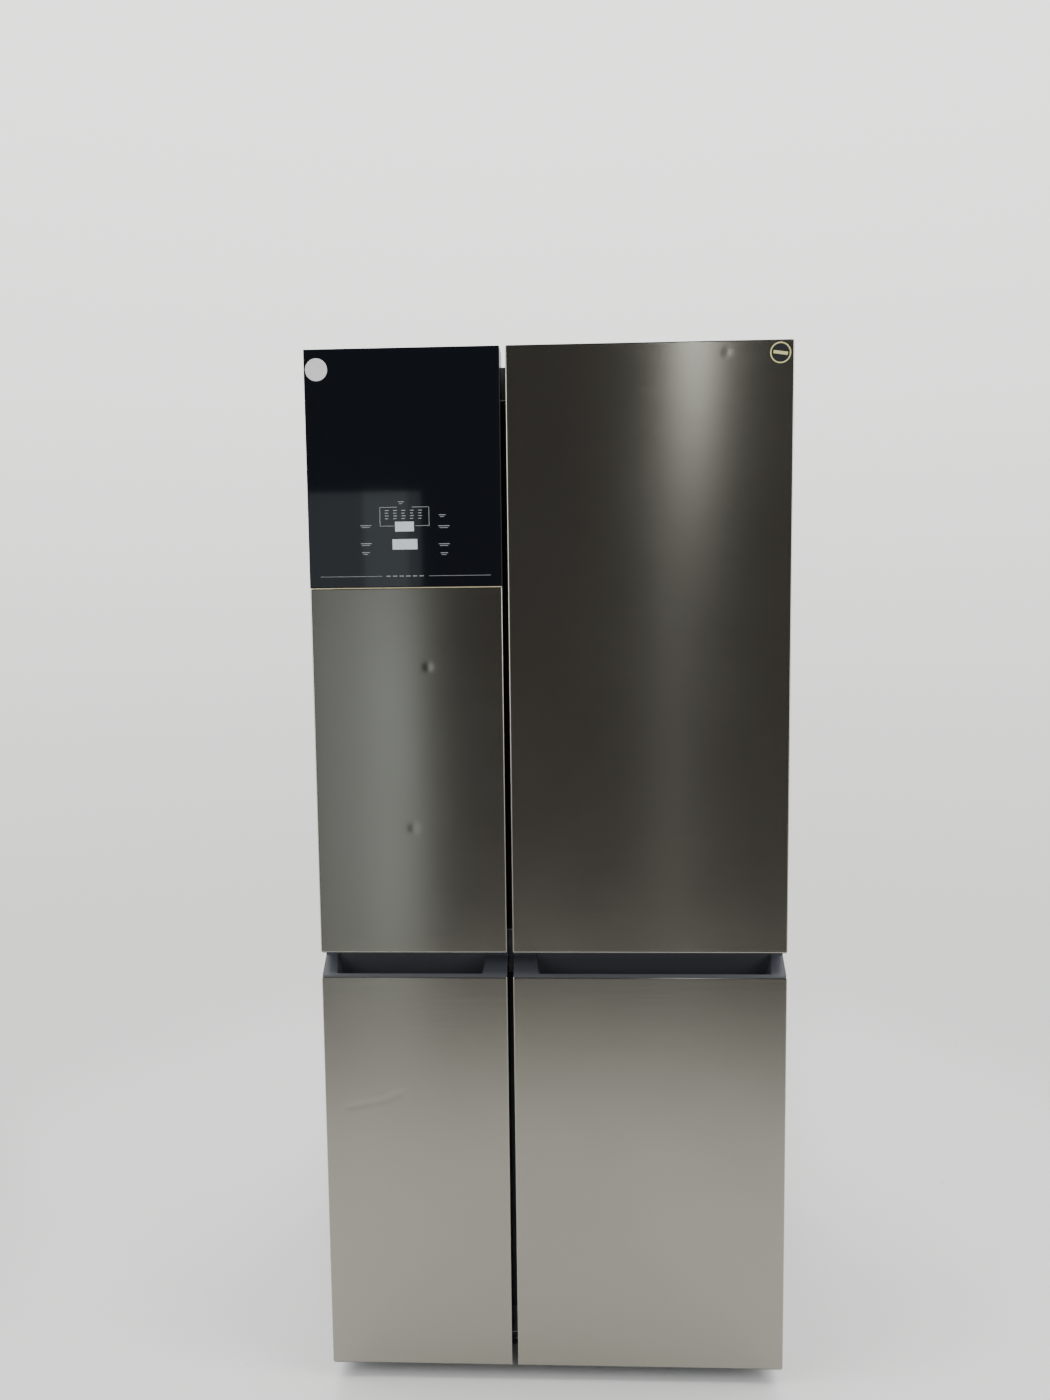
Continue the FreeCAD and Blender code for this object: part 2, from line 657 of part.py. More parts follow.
def foam():
    """The insulation poured between the casing and the liners."""
    block = box(("-cab_side + skin", "cab_side - skin"), ("cab_front + skin", "cab_back"),
                ("cabinet_lift", "cab_top - skin"))
    machine = box(("-cab_side", "cab_side"), ("machine_front - 1", "cab_back + 1"),
                  ("cabinet_lift - 1", "machine_top + 1"))
    rail = box(("-inner_side - liner_sheet", "inner_side + liner_sheet"), ("cab_front", "cab_front + rail_depth"),
               ("freezer_ceiling", "fridge_floor"))
    post = box(("post_left", "post_right"), ("cab_front", "cab_front + rail_depth"),
               ("freezer_floor - liner_sheet", "freezer_ceiling + 5"))
    keep("cabinet_foam", cut(block, fridge_hull(), freezer_hull("left"), freezer_hull("right"),
                             machine, rail, post))


def shelf_level(step):
    return f"(low_shelf + {step} * shelf_pitch)"


def liners():
    """The white inner boxes, with moulded ledges for the shelves and the drawers."""
    room = box(("-inner_side", "inner_side"), ("cab_front - 1", "inner_back"), ("fridge_floor", "fridge_ceiling"))
    ledges = []
    for step in range(4):
        level = shelf_level(step)
        for side in (("-inner_side - 1", "-inner_side + ledge_reach - 2"),
                     ("inner_side - ledge_reach + 2", "inner_side + 1")):
            ledges.append(box(side, ("shelf_line + 20", "shelf_back - 10"), (f"{level} - 8", level)))
    keep("fridge_liner", fuse(cut(fridge_hull(), room), *ledges))
    shells = []
    for side, (low, high) in FREEZERS.items():
        room = new_body("freezer_room")
        pad(room, "YZ_Plane", (low, high), freezer_outline("0"))
        runners = []
        for bottom, top, _ in drawer_levels():
            rim_low = f"{top} - drawer_wall - running_gap"
            for span in ((f"{low} - 1", f"{low} + ledge_reach"), (f"{high} - ledge_reach", f"{high} + 1")):
                back = "hump_front - 8" if bottom == drawer_levels()[0][0] else "duct_front - 2"
                runners.append(box(span, ("drawer_line + drawer_face + 2", back),
                                   (f"{rim_low} - ledge_height", rim_low)))
        shells.append(fuse(cut(freezer_hull(side), room), *runners))
    keep("freezer_liners", group(*shells))


def base():
    """The steel base with the step over the machine room, the roller lugs, foot bosses and fan plate."""
    pieces = [
        box(("-cab_side", "cab_side"), ("cab_front", "cab_back"), ("base_low", "cabinet_lift")),
        box(("-cab_side + skin", "cab_side - skin"), ("machine_front - 1", "machine_front"),
            ("cabinet_lift - 0.5", "machine_top + 1")),
        box(("-cab_side + skin", "cab_side - skin"), ("machine_front - 1", "cab_back"),
            ("machine_top", "machine_top + 1")),
        box(("-30", "-28"), ("machine_front + 10", "cab_back - 12"), ("cabinet_lift - 0.5", "machine_top - 20")),
    ]
    cuts = []
    for side in (-1, 1):
        foot = (f"{side} * foot_across", "foot_line")
        pieces.append(rod("z", foot, "foot_stem_radius + 7", "22", "base_low + 0.5"))
        cuts.append(rod("z", foot, "foot_stem_radius + pin_clearance", "21", "base_low - 0.3"))
        for low in (f"{side} * roller_across - roller_width / 2 - 3.5",
                    f"{side} * roller_across + roller_width / 2 + 1"):
            pieces.append(box((low, f"{low} + 2.5"), ("roller_line - 14", "roller_line + 14"),
                              ("10", "base_low + 0.5")))
    cuts.append(rod("x", ("roller_line", "roller_radius"), "roller_axle + pin_clearance", "-cab_side", "cab_side"))
    cuts.append(rod("x", ("fan_middle_y", "fan_middle_z"), "condenser_fan_radius + fan_clearance", "-35", "-20"))
    plate = cut(fuse(*pieces), *cuts)
    arms = [box(("-30", "-28"), ("fan_middle_y - 4", "fan_middle_y + 4"),
                ("fan_middle_z - condenser_fan_radius - fan_clearance - 2",
                 "fan_middle_z + condenser_fan_radius + fan_clearance + 2")),
            rod("x", ("fan_middle_y", "fan_middle_z"), "14", "-40", "-28")]
    bearing = rod("x", ("fan_middle_y", "fan_middle_z"), "4 + pin_clearance", "-41", "-27")
    keep("base_plate", cut(fuse(plate, *arms), bearing))


def kick_plate():
    """The dark plinth under the doors, hung from the base by its bent top."""
    body = new_body("kick_plate")
    pad(body, "YZ_Plane", ("-kick_half_width", "kick_half_width"),
        [("kick_front", "kick_clearance"), ("kick_front + kick_sheet", "kick_clearance"),
         ("kick_front + kick_sheet", "base_low - kick_sheet"),
         ("kick_front + kick_fold", "base_low - kick_sheet"), ("kick_front + kick_fold", "base_low"),
         ("kick_front", "base_low")])
    slot = pocket(body, "XZ_Plane", ("kick_front - 1", "kick_front + kick_sheet + 1.5"),
                  oblong(("-318", "-298"), ("14", "19")))
    repeat(body, slot, 23, "28", rows=2, row_pitch="10")
    keep("kick_plate", body)


def shelves():
    """Glass shelves in the fresh-food compartment with a moulded strip along the front and back edges."""
    sheets = []
    strips = []
    for step in range(4):
        level = shelf_level(step)
        side = ("-inner_side + 2", "inner_side - 2")
        sheet = box(side, ("shelf_line", "shelf_back"), (level, f"{level} + shelf_glass"))
        sheets.append(sheet)
        for edge in (("shelf_line - 4", "shelf_line + shelf_trim"), ("shelf_back - shelf_trim", "shelf_back + 3")):
            strip = box(shrink(side, "10"), edge, (f"{level} - 3", f"{level} + shelf_glass + 3"))
            strips.append(cut(strip, sheet))
    keep("glass_shelves", group(*sheets))
    keep("shelf_strips", group(*strips))


def hinges():
    """Top and bottom corner hinges, middle hinges, and the covers over the top ones."""
    corners = []
    middles = []
    covers = []
    for side, door in ((-1, DOORS["left_upper"]), (1, DOORS["right_upper"])):
        pin_at = (hinge_x(door), "hinge_line")
        arm = inward(door, "hinge_from_side - hinge_half_width", "hinge_from_side + hinge_half_width")
        arm_y = ("hinge_line - hinge_half_width", "cab_front + hinge_reach")
        corners.append(fuse(
            box(arm, arm_y, ("cab_top", "cab_top + hinge_plate")),
            box(inward(door, "cabinet_inset + 1", "70"), ("cab_front + 2", "cab_front + hinge_reach"),
                ("cab_top", "cab_top + hinge_plate")),
            rod("z", pin_at, "pin_radius", "cab_top - pin_length + 1", "cab_top + 1")))
        foot_plate = ("door_lift - hinge_space - hinge_plate", "door_lift - hinge_space")
        corners.append(fuse(
            box(arm, ("hinge_line - hinge_half_width", "cab_front + 22"), foot_plate),
            box(arm, ("cab_front + 19", "cab_front + 22"), ("door_lift - hinge_space - hinge_plate", "base_low")),
            rod("z", pin_at, "pin_radius", "door_lift - hinge_space - 1", "door_lift + pin_length - 1")))
        plate_low = "upper_low - hinge_space - hinge_plate"
        middles.append(fuse(
            box(arm, ("hinge_line - hinge_half_width", "cab_front"), (plate_low, "upper_low - hinge_space")),
            box(inward(door, "cabinet_inset + 1", "hinge_from_side + middle_plate_reach"),
                ("cab_front - hinge_plate", "cab_front"),
                ("divider_middle - 8", "upper_low - hinge_space")),
            rod("z", pin_at, "pin_radius", "lower_top + cap_back_rise - pin_length + 1",
                "upper_low + pin_length - 1")))
        cover = new_body("hinge_cover")
        span = inward(door, "cabinet_inset + 1", "hinge_cover_span")
        cover_back = "cab_front + hinge_cover_depth"
        slab(cover, span, ("cab_front + 2", cover_back), ("cab_top", "overall_height - cover_wall"))
        round_edges(cover, "5", upright_at((span[0], cover_back), (span[1], cover_back)))
        pocket(cover, "XY_Plane", ("cab_top - 1", "overall_height - 2 * cover_wall"),
               oblong(shrink(span, "cover_wall"), ("cab_front + 1", "cab_front + hinge_cover_depth - cover_wall")))
        covers.append(cut(cover, box(inward(door, "0", "80"), ("cab_front", "cab_front + 70"),
                                     ("cab_top - 1", "cab_top + hinge_plate + seat_gap"))))
    keep("corner_hinges", group(*corners))
    keep("middle_hinges", group(*middles))
    keep("hinge_covers", group(*covers))


# ---------------------------------------------------------------- drawers

def drawer_levels():
    """(bottom, top, back) of the freezer drawers, lowest first."""
    low = "freezer_floor + drawer_floor_gap"
    above = "(freezer_ceiling - hump_top - liner_sheet) / 2"
    second = "(hump_top + liner_sheet + drawer_floor_gap)"
    return [(low, f"{low} + low_drawer_height", "hump_front - 10"),
            (second, f"{second} + {above} - drawer_gap", "duct_front - 8"),
            (f"{second} + {above}", f"{second} + 2 * {above} - drawer_gap", "duct_front - 8")]


def tub(name, across, along, upright):
    """An open drawer: a tub with a rim along the sides and a taller, thicker face with a hand recess."""
    low, top = upright
    front, back = along
    body = new_body(name)
    slab(body, shrink(across, "drawer_rim"), along, upright)
    pocket(body, "XY_Plane", (f"{low} + drawer_wall", f"{top} + 1"),
           oblong(shrink(across, "drawer_rim + drawer_wall"), (f"{front} + drawer_face", f"{back} - drawer_wall")))
    pad(body, "XZ_Plane", (front, f"{front} + drawer_face"), oblong(across, upright))
    pad(body, "XY_Plane", (f"{top} - drawer_wall", top),
        oblong(across, (f"{front} + drawer_face / 2", back)),
        oblong(shrink(across, "drawer_rim + drawer_wall"), (f"{front} + drawer_face", f"{back} - drawer_wall")))
    middle = f"(({across[0]}) + ({across[1]})) / 2"
    grip = (f"{middle} - pull_half_width", f"{middle} + pull_half_width")
    slab(body, grip, (f"{front} - pull_reach", f"{front} + 1"), (f"{top} - 26", f"{top} - 22"))
    return keep(name, body)


def drawers():
    for side, span in FREEZERS.items():
        for level, (low, top, back) in zip(("low", "middle", "top"), drawer_levels()):
            tub(f"{side}_{level}_drawer", shrink(span, "drawer_side_gap"), ("drawer_line", back), (low, top))
        tub(f"{side}_crisper", shrink(span, "drawer_side_gap"), ("crisper_line", "shelf_back - 20"),
            ("fridge_floor + running_gap", "fridge_floor + running_gap + crisper_height"))


# ---------------------------------------------------------------- cold side and machine side

def duct_covers():
    """The slotted covers in front of the air ducts at the back of the compartments."""
    covers = []
    fridge = new_body("fridge_duct_cover")
    slab(fridge, ("-110", "110"), ("inner_back - fridge_duct", "inner_back"),
         ("low_shelf + 30", "fridge_ceiling - 30"))
    slots = []
    for step in range(3):
        level = f"({shelf_level(step)} + shelf_pitch)"
        for side in (-1, 1):
            middle = 62 * side
            slots.append(oblong((f"{middle - 26}", f"{middle + 26}"), (f"{level} - 46", f"{level} - 38")))
            slots.append(oblong((f"{middle - 26}", f"{middle + 26}"), (f"{level} - 30", f"{level} - 22")))
    pocket(fridge, "XZ_Plane", ("inner_back - fridge_duct - 1", "inner_back - 6"), *slots)
    covers.append(fridge)
    for side, (low, high) in FREEZERS.items():
        body = new_body("freezer_duct_cover")
        middle = f"(({low}) + ({high})) / 2"
        height = ("hump_top + liner_sheet", "freezer_ceiling")
        pad(body, "XZ_Plane", ("duct_front", "duct_front + duct_sheet"), oblong((low, high), height))
        slots = [oblong((f"{middle} + {start}", f"{middle} + {start + 60}"),
                        (f"freezer_ceiling - {drop} - 6", f"freezer_ceiling - {drop}"))
                 for start in (-80, 20) for drop in (190, 204, 218)]
        pocket(body, "XZ_Plane", ("duct_front - 1", "duct_front + duct_sheet + 1"), *slots)
        if side == "right":
            body = with_fan_seat(body)
        covers.append(body)
    keep("duct_covers", group(*covers))


def with_fan_seat(cover):
    """The fan's round opening, crossed by an arm that carries its bearing."""
    at_fan = ("freezer_fan_x", "freezer_fan_z")
    opened = cut(cover, rod("y", at_fan, "freezer_fan_radius + fan_clearance", "duct_front - 1",
                            "duct_front + duct_sheet + 1"))
    arm = box(("freezer_fan_x - 4", "freezer_fan_x + 4"), ("duct_front", "duct_front + duct_sheet"),
              ("freezer_fan_z - freezer_fan_radius - fan_clearance - 2",
               "freezer_fan_z + freezer_fan_radius + fan_clearance + 2"))
    boss = rod("y", at_fan, "10", "duct_front", "duct_front + 12")
    return cut(fuse(opened, arm, boss), rod("y", at_fan, "3 + pin_clearance", "duct_front + 1", "duct_front + 13"))


def fan(name, axis, centre, radius, face, shaft):
    """Five pitched blades on a hub with a shaft; face is the hub's side towards its bearing."""
    sheet_radius = number(radius)
    hub = number("fan_hub")
    depth = 16
    blades = []
    for step in range(5):
        blade = Part.makeBox(sheet_radius - hub + 4, 26, 1.6)
        blade.translate(FreeCAD.Vector(hub - 4, -13, -0.8))
        blade.rotate(FreeCAD.Vector(0, 0, 0), FreeCAD.Vector(1, 0, 0), 26)
        blade.rotate(FreeCAD.Vector(0, 0, 0), FreeCAD.Vector(0, 0, 1), 72 * step)
        blades.append(blade)
    shape = Part.makeCylinder(hub, depth, FreeCAD.Vector(0, 0, -depth / 2))
    shape = shape.fuse(Part.makeCylinder(number(shaft[0]), number(shaft[1]) + depth / 2, FreeCAD.Vector(0, 0, 0)))
    shape = shape.fuse(blades).removeSplitter()
    feature = doc.addObject("Part::Feature", name)
    feature.Shape = shape
    x, y, z = (number(place) for place in centre)
    turn = FreeCAD.Rotation(FreeCAD.Vector(0, 0, 1), FreeCAD.Vector(*axis))
    offset = FreeCAD.Vector(*axis) * -(depth / 2 + number(face))
    feature.Placement = FreeCAD.Placement(FreeCAD.Vector(x, y, z) + offset, turn)
    return keep(name, feature)


def fans():
    fan("condenser_fan", (-1, 0, 0), ("-28", "fan_middle_y", "fan_middle_z"), "condenser_fan_radius", "1",
        ("4", "9"))
    fan("freezer_fan", (0, -1, 0), ("freezer_fan_x", "duct_front + 12", "freezer_fan_z"),
        "freezer_fan_radius", "1", ("3", "9"))


def evaporator():
    """Tubes through a stack of fins, on two end plates that reach the back wall."""
    y = "(duct_front + duct_sheet + inner_back) / 2"
    low_z = "(hump_top + liner_sheet + coil_lift)"
    left, right = "(post_right + coil_inset)", "(inner_side - coil_inset)"
    fins = []
    for step in range(15):
        x = f"({left} + ({right} - {left}) * {step} / 14)"
        back = "inner_back" if step in (0, 14) else f"{y} + coil_half_depth"
        fins.append(box((f"{x} - 0.6", f"{x} + 0.6"), (f"{y} - coil_half_depth", back),
                        (low_z, f"{low_z} + coil_height")))
    tubes = [rod("x", (f"{y} + {offset}", f"{low_z} + {20 + 30 * level}"), "4", f"{left} - 12", f"{right} + 12")
             for level in range(6) for offset in (-12, 12)]
    keep("evaporator", fuse(*fins, *tubes))


def compressor():
    """A domed steel can on a mounting plate with four rubber grommets."""
    can = new_body("can")
    spin(can, [("0", "14"), ("68", "14"), ("76", "24"), ("76", "104"), ("66", "134"), ("44", "150"),
               ("30", "can_height"), ("0", "can_height")])
    can.setExpression("Placement.Base.x", bound("compressor_x"))
    can.setExpression("Placement.Base.y", bound("fan_middle_y"))
    can.setExpression("Placement.Base.z", bound("cabinet_lift"))
    middle = "compressor_x"
    plate = box((f"{middle} - 100", f"{middle} + 100"), ("fan_middle_y - 55", "fan_middle_y + 55"),
                ("cabinet_lift + 11", "cabinet_lift + 15"))
    grommets = [rod("z", (f"{middle} + {88 * across}", f"fan_middle_y + {42 * along}"), "9", "cabinet_lift",
                    "cabinet_lift + 18") for across in (-1, 1) for along in (-1, 1)]
    terminal = box((f"{middle} + 60", f"{middle} + 96"), ("fan_middle_y - 25", "fan_middle_y + 25"),
                   ("cabinet_lift + 50", "cabinet_lift + 96"))
    keep("compressor", fuse(can, plate, *grommets, terminal))
    outer = ((f"{middle} - tray_half_length", f"{middle} + tray_half_length"),
             ("fan_middle_y - tray_half_width", "fan_middle_y + tray_half_width"))
    low = "cabinet_lift + can_height"
    tray = cut(box(*outer, (low, f"{low} + tray_height")),
               box(shrink(outer[0], "tray_wall"), shrink(outer[1], "tray_wall"),
                   (f"{low} + tray_wall", f"{low} + tray_height + 1")))
    keep("drip_tray", tray)


def condenser():
    """Three serpentine layers of tube, one behind the other, in two end plates that stand on the base."""
    left, right = number("20"), number("cab_side - 40")
    low = number("cabinet_lift")
    tube, pitch, rows, depth = 3.2, 26, 7, 44
    first = number("fan_middle_y") - depth
    coil = serpentine(left, right, first, low + 22, pitch, rows, tube)
    plates = [Part.makeBox(2, 2 * depth + 36, pitch * (rows - 1) + 44, FreeCAD.Vector(x, first - 18, low))
              for x in (left + 14, right - 16)]
    layers = []
    for step in range(3):
        layer = coil.copy()
        layer.translate(FreeCAD.Vector(0, depth * step, 0))
        layers.append(layer)
    feature = doc.addObject("Part::Feature", "condenser_coil")
    feature.Shape = plates[0].fuse([plates[1]] + layers).removeSplitter()
    feature.Placement = FreeCAD.Placement()
    keep("condenser_coil", feature)


def serpentine(left, right, y, low, pitch, rows, tube):
    """One tube that runs left and right between half-round bends, upward in an XZ plane."""
    edges = []
    for row in range(rows):
        z = low + pitch * row
        start, end = (left, right) if row % 2 == 0 else (right, left)
        edges.append(Part.LineSegment(FreeCAD.Vector(start, y, z), FreeCAD.Vector(end, y, z)).toShape())
        if row < rows - 1:
            out = pitch / 2 if end == right else -pitch / 2
            arc = Part.Arc(FreeCAD.Vector(end, y, z), FreeCAD.Vector(end + out, y, z + pitch / 2),
                           FreeCAD.Vector(end, y, z + pitch))
            edges.append(arc.toShape())
    ring = Part.Wire([Part.Circle(FreeCAD.Vector(left, y, low), FreeCAD.Vector(1, 0, 0), tube).toShape()])
    return Part.Wire(edges).makePipeShell([ring], True, False, 1)


def rear_cover():
    """The vented cover of the machine compartment, with two spacers towards the wall and the cord gland."""
    body = new_body("rear_cover")
    height = ("base_low", "machine_top")
    pad(body, "XZ_Plane", ("cab_back", "cab_back + cover_wall"), oblong(("-cab_side + 6", "cab_side - 6"), height))
    slot = pocket(body, "XZ_Plane", ("cab_back - 1", "cab_back + 3"),
                  oblong(("-341", "-291"), ("cabinet_lift + 60", "cabinet_lift + 67")))
    repeat(body, slot, 12, "57", rows=6, row_pitch="22")
    spacers = [box((f"{side} * spacer_across - 6", f"{side} * spacer_across + 6"),
                   ("cab_back + 1", "cab_back + rear_spacing"),
                   ("machine_top - 40", "machine_top - 8")) for side in (-1, 1)]
    at_gland = ("-20", "cabinet_lift + gland_height")
    cover = cut(fuse(body, *spacers), rod("y", at_gland, "9", "cab_back - 1", "cab_back + 3"))
    keep("rear_cover", cover)
    gland = fuse(rod("y", at_gland, "9", "cab_back - 6", "cab_back + 4"),
                 rod("y", at_gland, "12", "cab_back + 2", "cab_back + 5"),
                 rod("y", at_gland, "7", "cab_back + 4", "cab_back + 16"))
    keep("cord_gland", cut(gland, rod("y", at_gland, "4", "cab_back - 7", "cab_back + 17")))


def ceiling_lamp():
    """The light strip under the fresh-food ceiling."""
    body = new_body("ceiling_lamp")
    across = ("-lamp_half_width", "lamp_half_width")
    along = ("shelf_line + 10", "shelf_line + 10 + lamp_depth")
    slab(body, across, along, ("fridge_ceiling - lamp_height", "fridge_ceiling"))
    keep("ceiling_lamp", body)


# ---------------------------------------------------------------- feet and rollers

def feet():
    for side, name in ((-1, "front_foot_left"), (1, "front_foot_right")):
        body = new_body(name)
        spin(body, [("0", "0"), ("foot_pad_radius - 2", "0"), ("foot_pad_radius", "2"),
                    ("foot_pad_radius", "foot_pad_height - 3"), ("foot_pad_radius - 3", "foot_pad_height"),
                    ("foot_collar_radius", "foot_pad_height"), ("foot_collar_radius", "foot_collar_top"),
                    ("foot_stem_radius", "foot_collar_top"),
                    ("foot_stem_radius", "base_low - 0.8"), ("0", "base_low - 0.8")])
        body.setExpression("Placement.Base.x", bound(f"{side} * foot_across"))
        body.setExpression("Placement.Base.y", bound("foot_line"))
        keep(name, body)


def rollers():
    wheels = []
    for side in (-1, 1):
        middle = f"{side} * roller_across"
        at_axle = ("roller_line", "roller_radius")
        wheels.append(fuse(rod("x", at_axle, "roller_radius", f"{middle} - roller_width / 2",
                               f"{middle} + roller_width / 2"),
                           rod("x", at_axle, "roller_axle", f"{middle} - roller_width / 2 - 6",
                               f"{middle} + roller_width / 2 + 6")))
    keep("rear_rollers", group(*wheels))


for build in (doors, control_panel, dairy_lid, casing, front_frame, foam, liners, base, kick_plate, shelves,
              hinges, drawers, duct_covers, fans, evaporator, compressor, condenser, rear_cover, ceiling_lamp,
              feet, rollers):
    build()

# ---------------------------------------------------------------- checks and files

doc.recompute()
for thing in doc.Objects:
    if {"Invalid", "Error"} & set(thing.State):
        raise RuntimeError(f"{thing.Label} did not compute: {thing.State}")
    if thing.TypeId == "PartDesign::Pocket":
        if thing.BaseFeature.Shape.Volume - thing.Shape.Volume < 1:
            raise RuntimeError(f"{thing.Label} removes nothing from {thing.getParentGeoFeatureGroup().Label}")

os.makedirs("parts", exist_ok=True)
for name, thing in sorted(parts.items()):
    shape = thing.Shape
    if shape.isNull() or not shape.isValid() or not shape.Solids:
        raise RuntimeError(f"{name} has no valid shape")
    shape.exportStep(os.path.join("parts", f"{name}.step"))
    print(f"{name}: {len(shape.Solids)} solids, {shape.Volume / 1000:.1f} cm3")
print(len(parts), "sub-parts")
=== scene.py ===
import bmesh
import bpy
import json
import math
from mathutils import Matrix, Vector

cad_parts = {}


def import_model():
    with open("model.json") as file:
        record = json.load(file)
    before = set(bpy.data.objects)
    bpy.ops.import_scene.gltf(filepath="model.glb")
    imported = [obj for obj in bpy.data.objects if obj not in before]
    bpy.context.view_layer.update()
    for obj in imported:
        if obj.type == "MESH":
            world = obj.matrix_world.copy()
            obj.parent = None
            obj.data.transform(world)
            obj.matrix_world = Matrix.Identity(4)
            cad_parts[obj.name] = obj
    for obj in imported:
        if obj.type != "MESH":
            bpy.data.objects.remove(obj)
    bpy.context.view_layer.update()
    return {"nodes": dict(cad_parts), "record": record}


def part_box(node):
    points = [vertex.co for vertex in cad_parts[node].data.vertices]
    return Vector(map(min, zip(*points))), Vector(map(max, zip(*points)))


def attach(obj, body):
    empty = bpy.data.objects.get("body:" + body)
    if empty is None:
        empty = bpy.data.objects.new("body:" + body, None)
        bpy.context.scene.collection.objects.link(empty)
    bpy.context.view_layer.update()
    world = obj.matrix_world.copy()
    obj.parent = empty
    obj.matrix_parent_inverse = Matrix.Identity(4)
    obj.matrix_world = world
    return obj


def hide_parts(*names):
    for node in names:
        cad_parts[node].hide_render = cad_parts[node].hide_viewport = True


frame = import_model()

MM = 0.001
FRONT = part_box("control_glass")[0][1]          # the plane of the door fronts
GLASS_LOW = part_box("control_glass")[0][2]
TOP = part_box("control_glass")[1][2]
SET_BACK = 0.3 * MM                            # what is printed or stuck on the doors lies in this depth

# The door sheets.
NOTCH_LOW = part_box("left_upper_liner")[1].z    # above this, the sheets' sides clear the top hinge plates
NOTCH_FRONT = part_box("corner_hinges")[0].y - 16 * MM
SHEET = 0.7 * MM                               # thickness
BEND = 2.6 * MM                                # radius of the folded edges
BEND_STEPS = 6                                 # rulings in a folded edge
FLAT_START = 0.8 * MM                          # the first ruling past a folded edge
LIP = 9 * MM                                   # how far the folded ends reach back
RULING = 16 * MM                               # spacing of the rulings on the flat
FINE_GAP, COARSE_GAP = 0.3 * MM, 1.8 * MM      # closest rulings in the folded edges and on the flat
DENT_END = 3.2                                 # where a dent has run out, in its own radii
DENT_STEPS = 9                                 # rulings on each side of a dent
GLASS_GAP = 0.6 * MM                           # between the glass and the sheet below it

# The room.
DIM = 0.090                                    # radiance of the room in front of the doors
WALL_DARK, WALL_LIGHT = 1.28, 2.2              # the studio behind the object, below and above eye level
FLOOR_FADE, FLOOR_END = 1.2, 2.55              # radii where the floor starts and ends fading out
STRIPS = FRONT - 4.83                          # the plane of the strips that the doors mirror
COOL = (0.96, 1.0, 1.0)

# The colour sockets of a Mix node.
MIX_A, MIX_B, MIX_OUT = 6, 7, 2


# ---------------------------------------------------------------- camera, floor and light

def camera():
    """A phone held at head height, a little to the right of the middle and tipped down."""
    data = bpy.data.cameras.new("camera")
    data.sensor_width = 36
    data.lens = 27.0
    eye = Vector((0.030, FRONT - 1.818, 1.434))
    yaw, pitch, roll = (math.radians(angle) for angle in (2.31, 5.28, 0.66))
    forward = Vector((-math.sin(yaw) * math.cos(pitch),
                      math.cos(yaw) * math.cos(pitch),
                      -math.sin(pitch)))
    right = forward.cross(Vector((0, 0, 1))).normalized()
    level = right.cross(forward)
    up = level * math.cos(roll) + right * math.sin(roll)
    side = forward.cross(up).normalized()
    turn = Matrix((side, up, -forward)).transposed()
    holder = bpy.data.objects.new("camera", data)
    holder.matrix_world = Matrix.Translation(eye) @ turn.to_4x4()
    bpy.context.collection.objects.link(holder)
    bpy.context.scene.camera = holder


def area_light(name, place, aim, size, radiance, colour=(1, 1, 1)):
    """A soft box of this radiance, facing a point."""
    data = bpy.data.lights.new(name, "AREA")
    data.shape = "RECTANGLE"
    data.size, data.size_y = size
    data.energy = radiance * math.pi * size[0] * size[1]
    data.color = colour
    lamp = bpy.data.objects.new(name, data)
    direction = (Vector(aim) - Vector(place)).normalized()
    turn = direction.to_track_quat("-Z", "Y").to_matrix().to_4x4()
    lamp.matrix_world = Matrix.Translation(place) @ turn
    bpy.context.collection.objects.link(lamp)


def ramp(nodes, links, source, low, high, start=0.0, end=1.0):
    """A value's smooth step from start, where it is low, to end, where it is high."""
    step = nodes.new("ShaderNodeMapRange")
    step.interpolation_type = "SMOOTHSTEP"
    step.inputs["From Min"].default_value = low
    step.inputs["From Max"].default_value = high
    step.inputs["To Min"].default_value = start
    step.inputs["To Max"].default_value = end
    links.new(source, step.inputs["Value"])
    return step.outputs[0]


def calculate(nodes, links, operation, first, second=None):
    """A Math node over sockets or numbers."""
    step = nodes.new("ShaderNodeMath")
    step.operation = operation
    for socket, value in zip(step.inputs, (first, second)):
        if isinstance(value, (int, float)):
            socket.default_value = value
        elif value is not None:
            links.new(value, socket)
    return step.outputs[0]


def world():
    """A pale studio that lights from the sides and the back, and stays dim in front of the doors."""
    sky = bpy.data.worlds.new("studio")
    bpy.context.scene.world = sky
    sky.use_nodes = True
    nodes, links = sky.node_tree.nodes, sky.node_tree.links
    nodes.clear()
    place = nodes.new("ShaderNodeTexCoord")
    split = nodes.new("ShaderNodeSeparateXYZ")
    links.new(place.outputs["Generated"], split.inputs[0])
    aside = ramp(nodes, links, calculate(nodes, links, "ABSOLUTE", split.outputs["X"]), 0.32, 0.72)
    behind = ramp(nodes, links, split.outputs["Y"], 0.05, 0.45)
    lit = calculate(nodes, links, "MAXIMUM", aside, behind)
    room = nodes.new("ShaderNodeBackground")
    tone = nodes.new("ShaderNodeMix")
    tone.data_type = "RGBA"
    tone.inputs[MIX_A].default_value = (DIM, DIM * 0.98, DIM * 0.94, 1)
    tone.inputs[MIX_B].default_value = (1.0, 1.0, 0.99, 1)
    links.new(lit, tone.inputs[0])
    links.new(tone.outputs[MIX_OUT], room.inputs["Color"])
    wall = nodes.new("ShaderNodeBackground")
    wall.inputs["Color"].default_value = (1.0, 1.01, 0.985, 1)
    links.new(ramp(nodes, links, split.outputs["Z"], -0.35, 0.5, WALL_DARK, WALL_LIGHT),
              wall.inputs["Strength"])
    ray = nodes.new("ShaderNodeLightPath")
    mix = nodes.new("ShaderNodeMixShader")
    links.new(ray.outputs["Is Camera Ray"], mix.inputs[0])
    links.new(room.outputs[0], mix.inputs[1])
    links.new(wall.outputs[0], mix.inputs[2])
    out = nodes.new("ShaderNodeOutputWorld")
    links.new(mix.outputs[0], out.inputs[0])


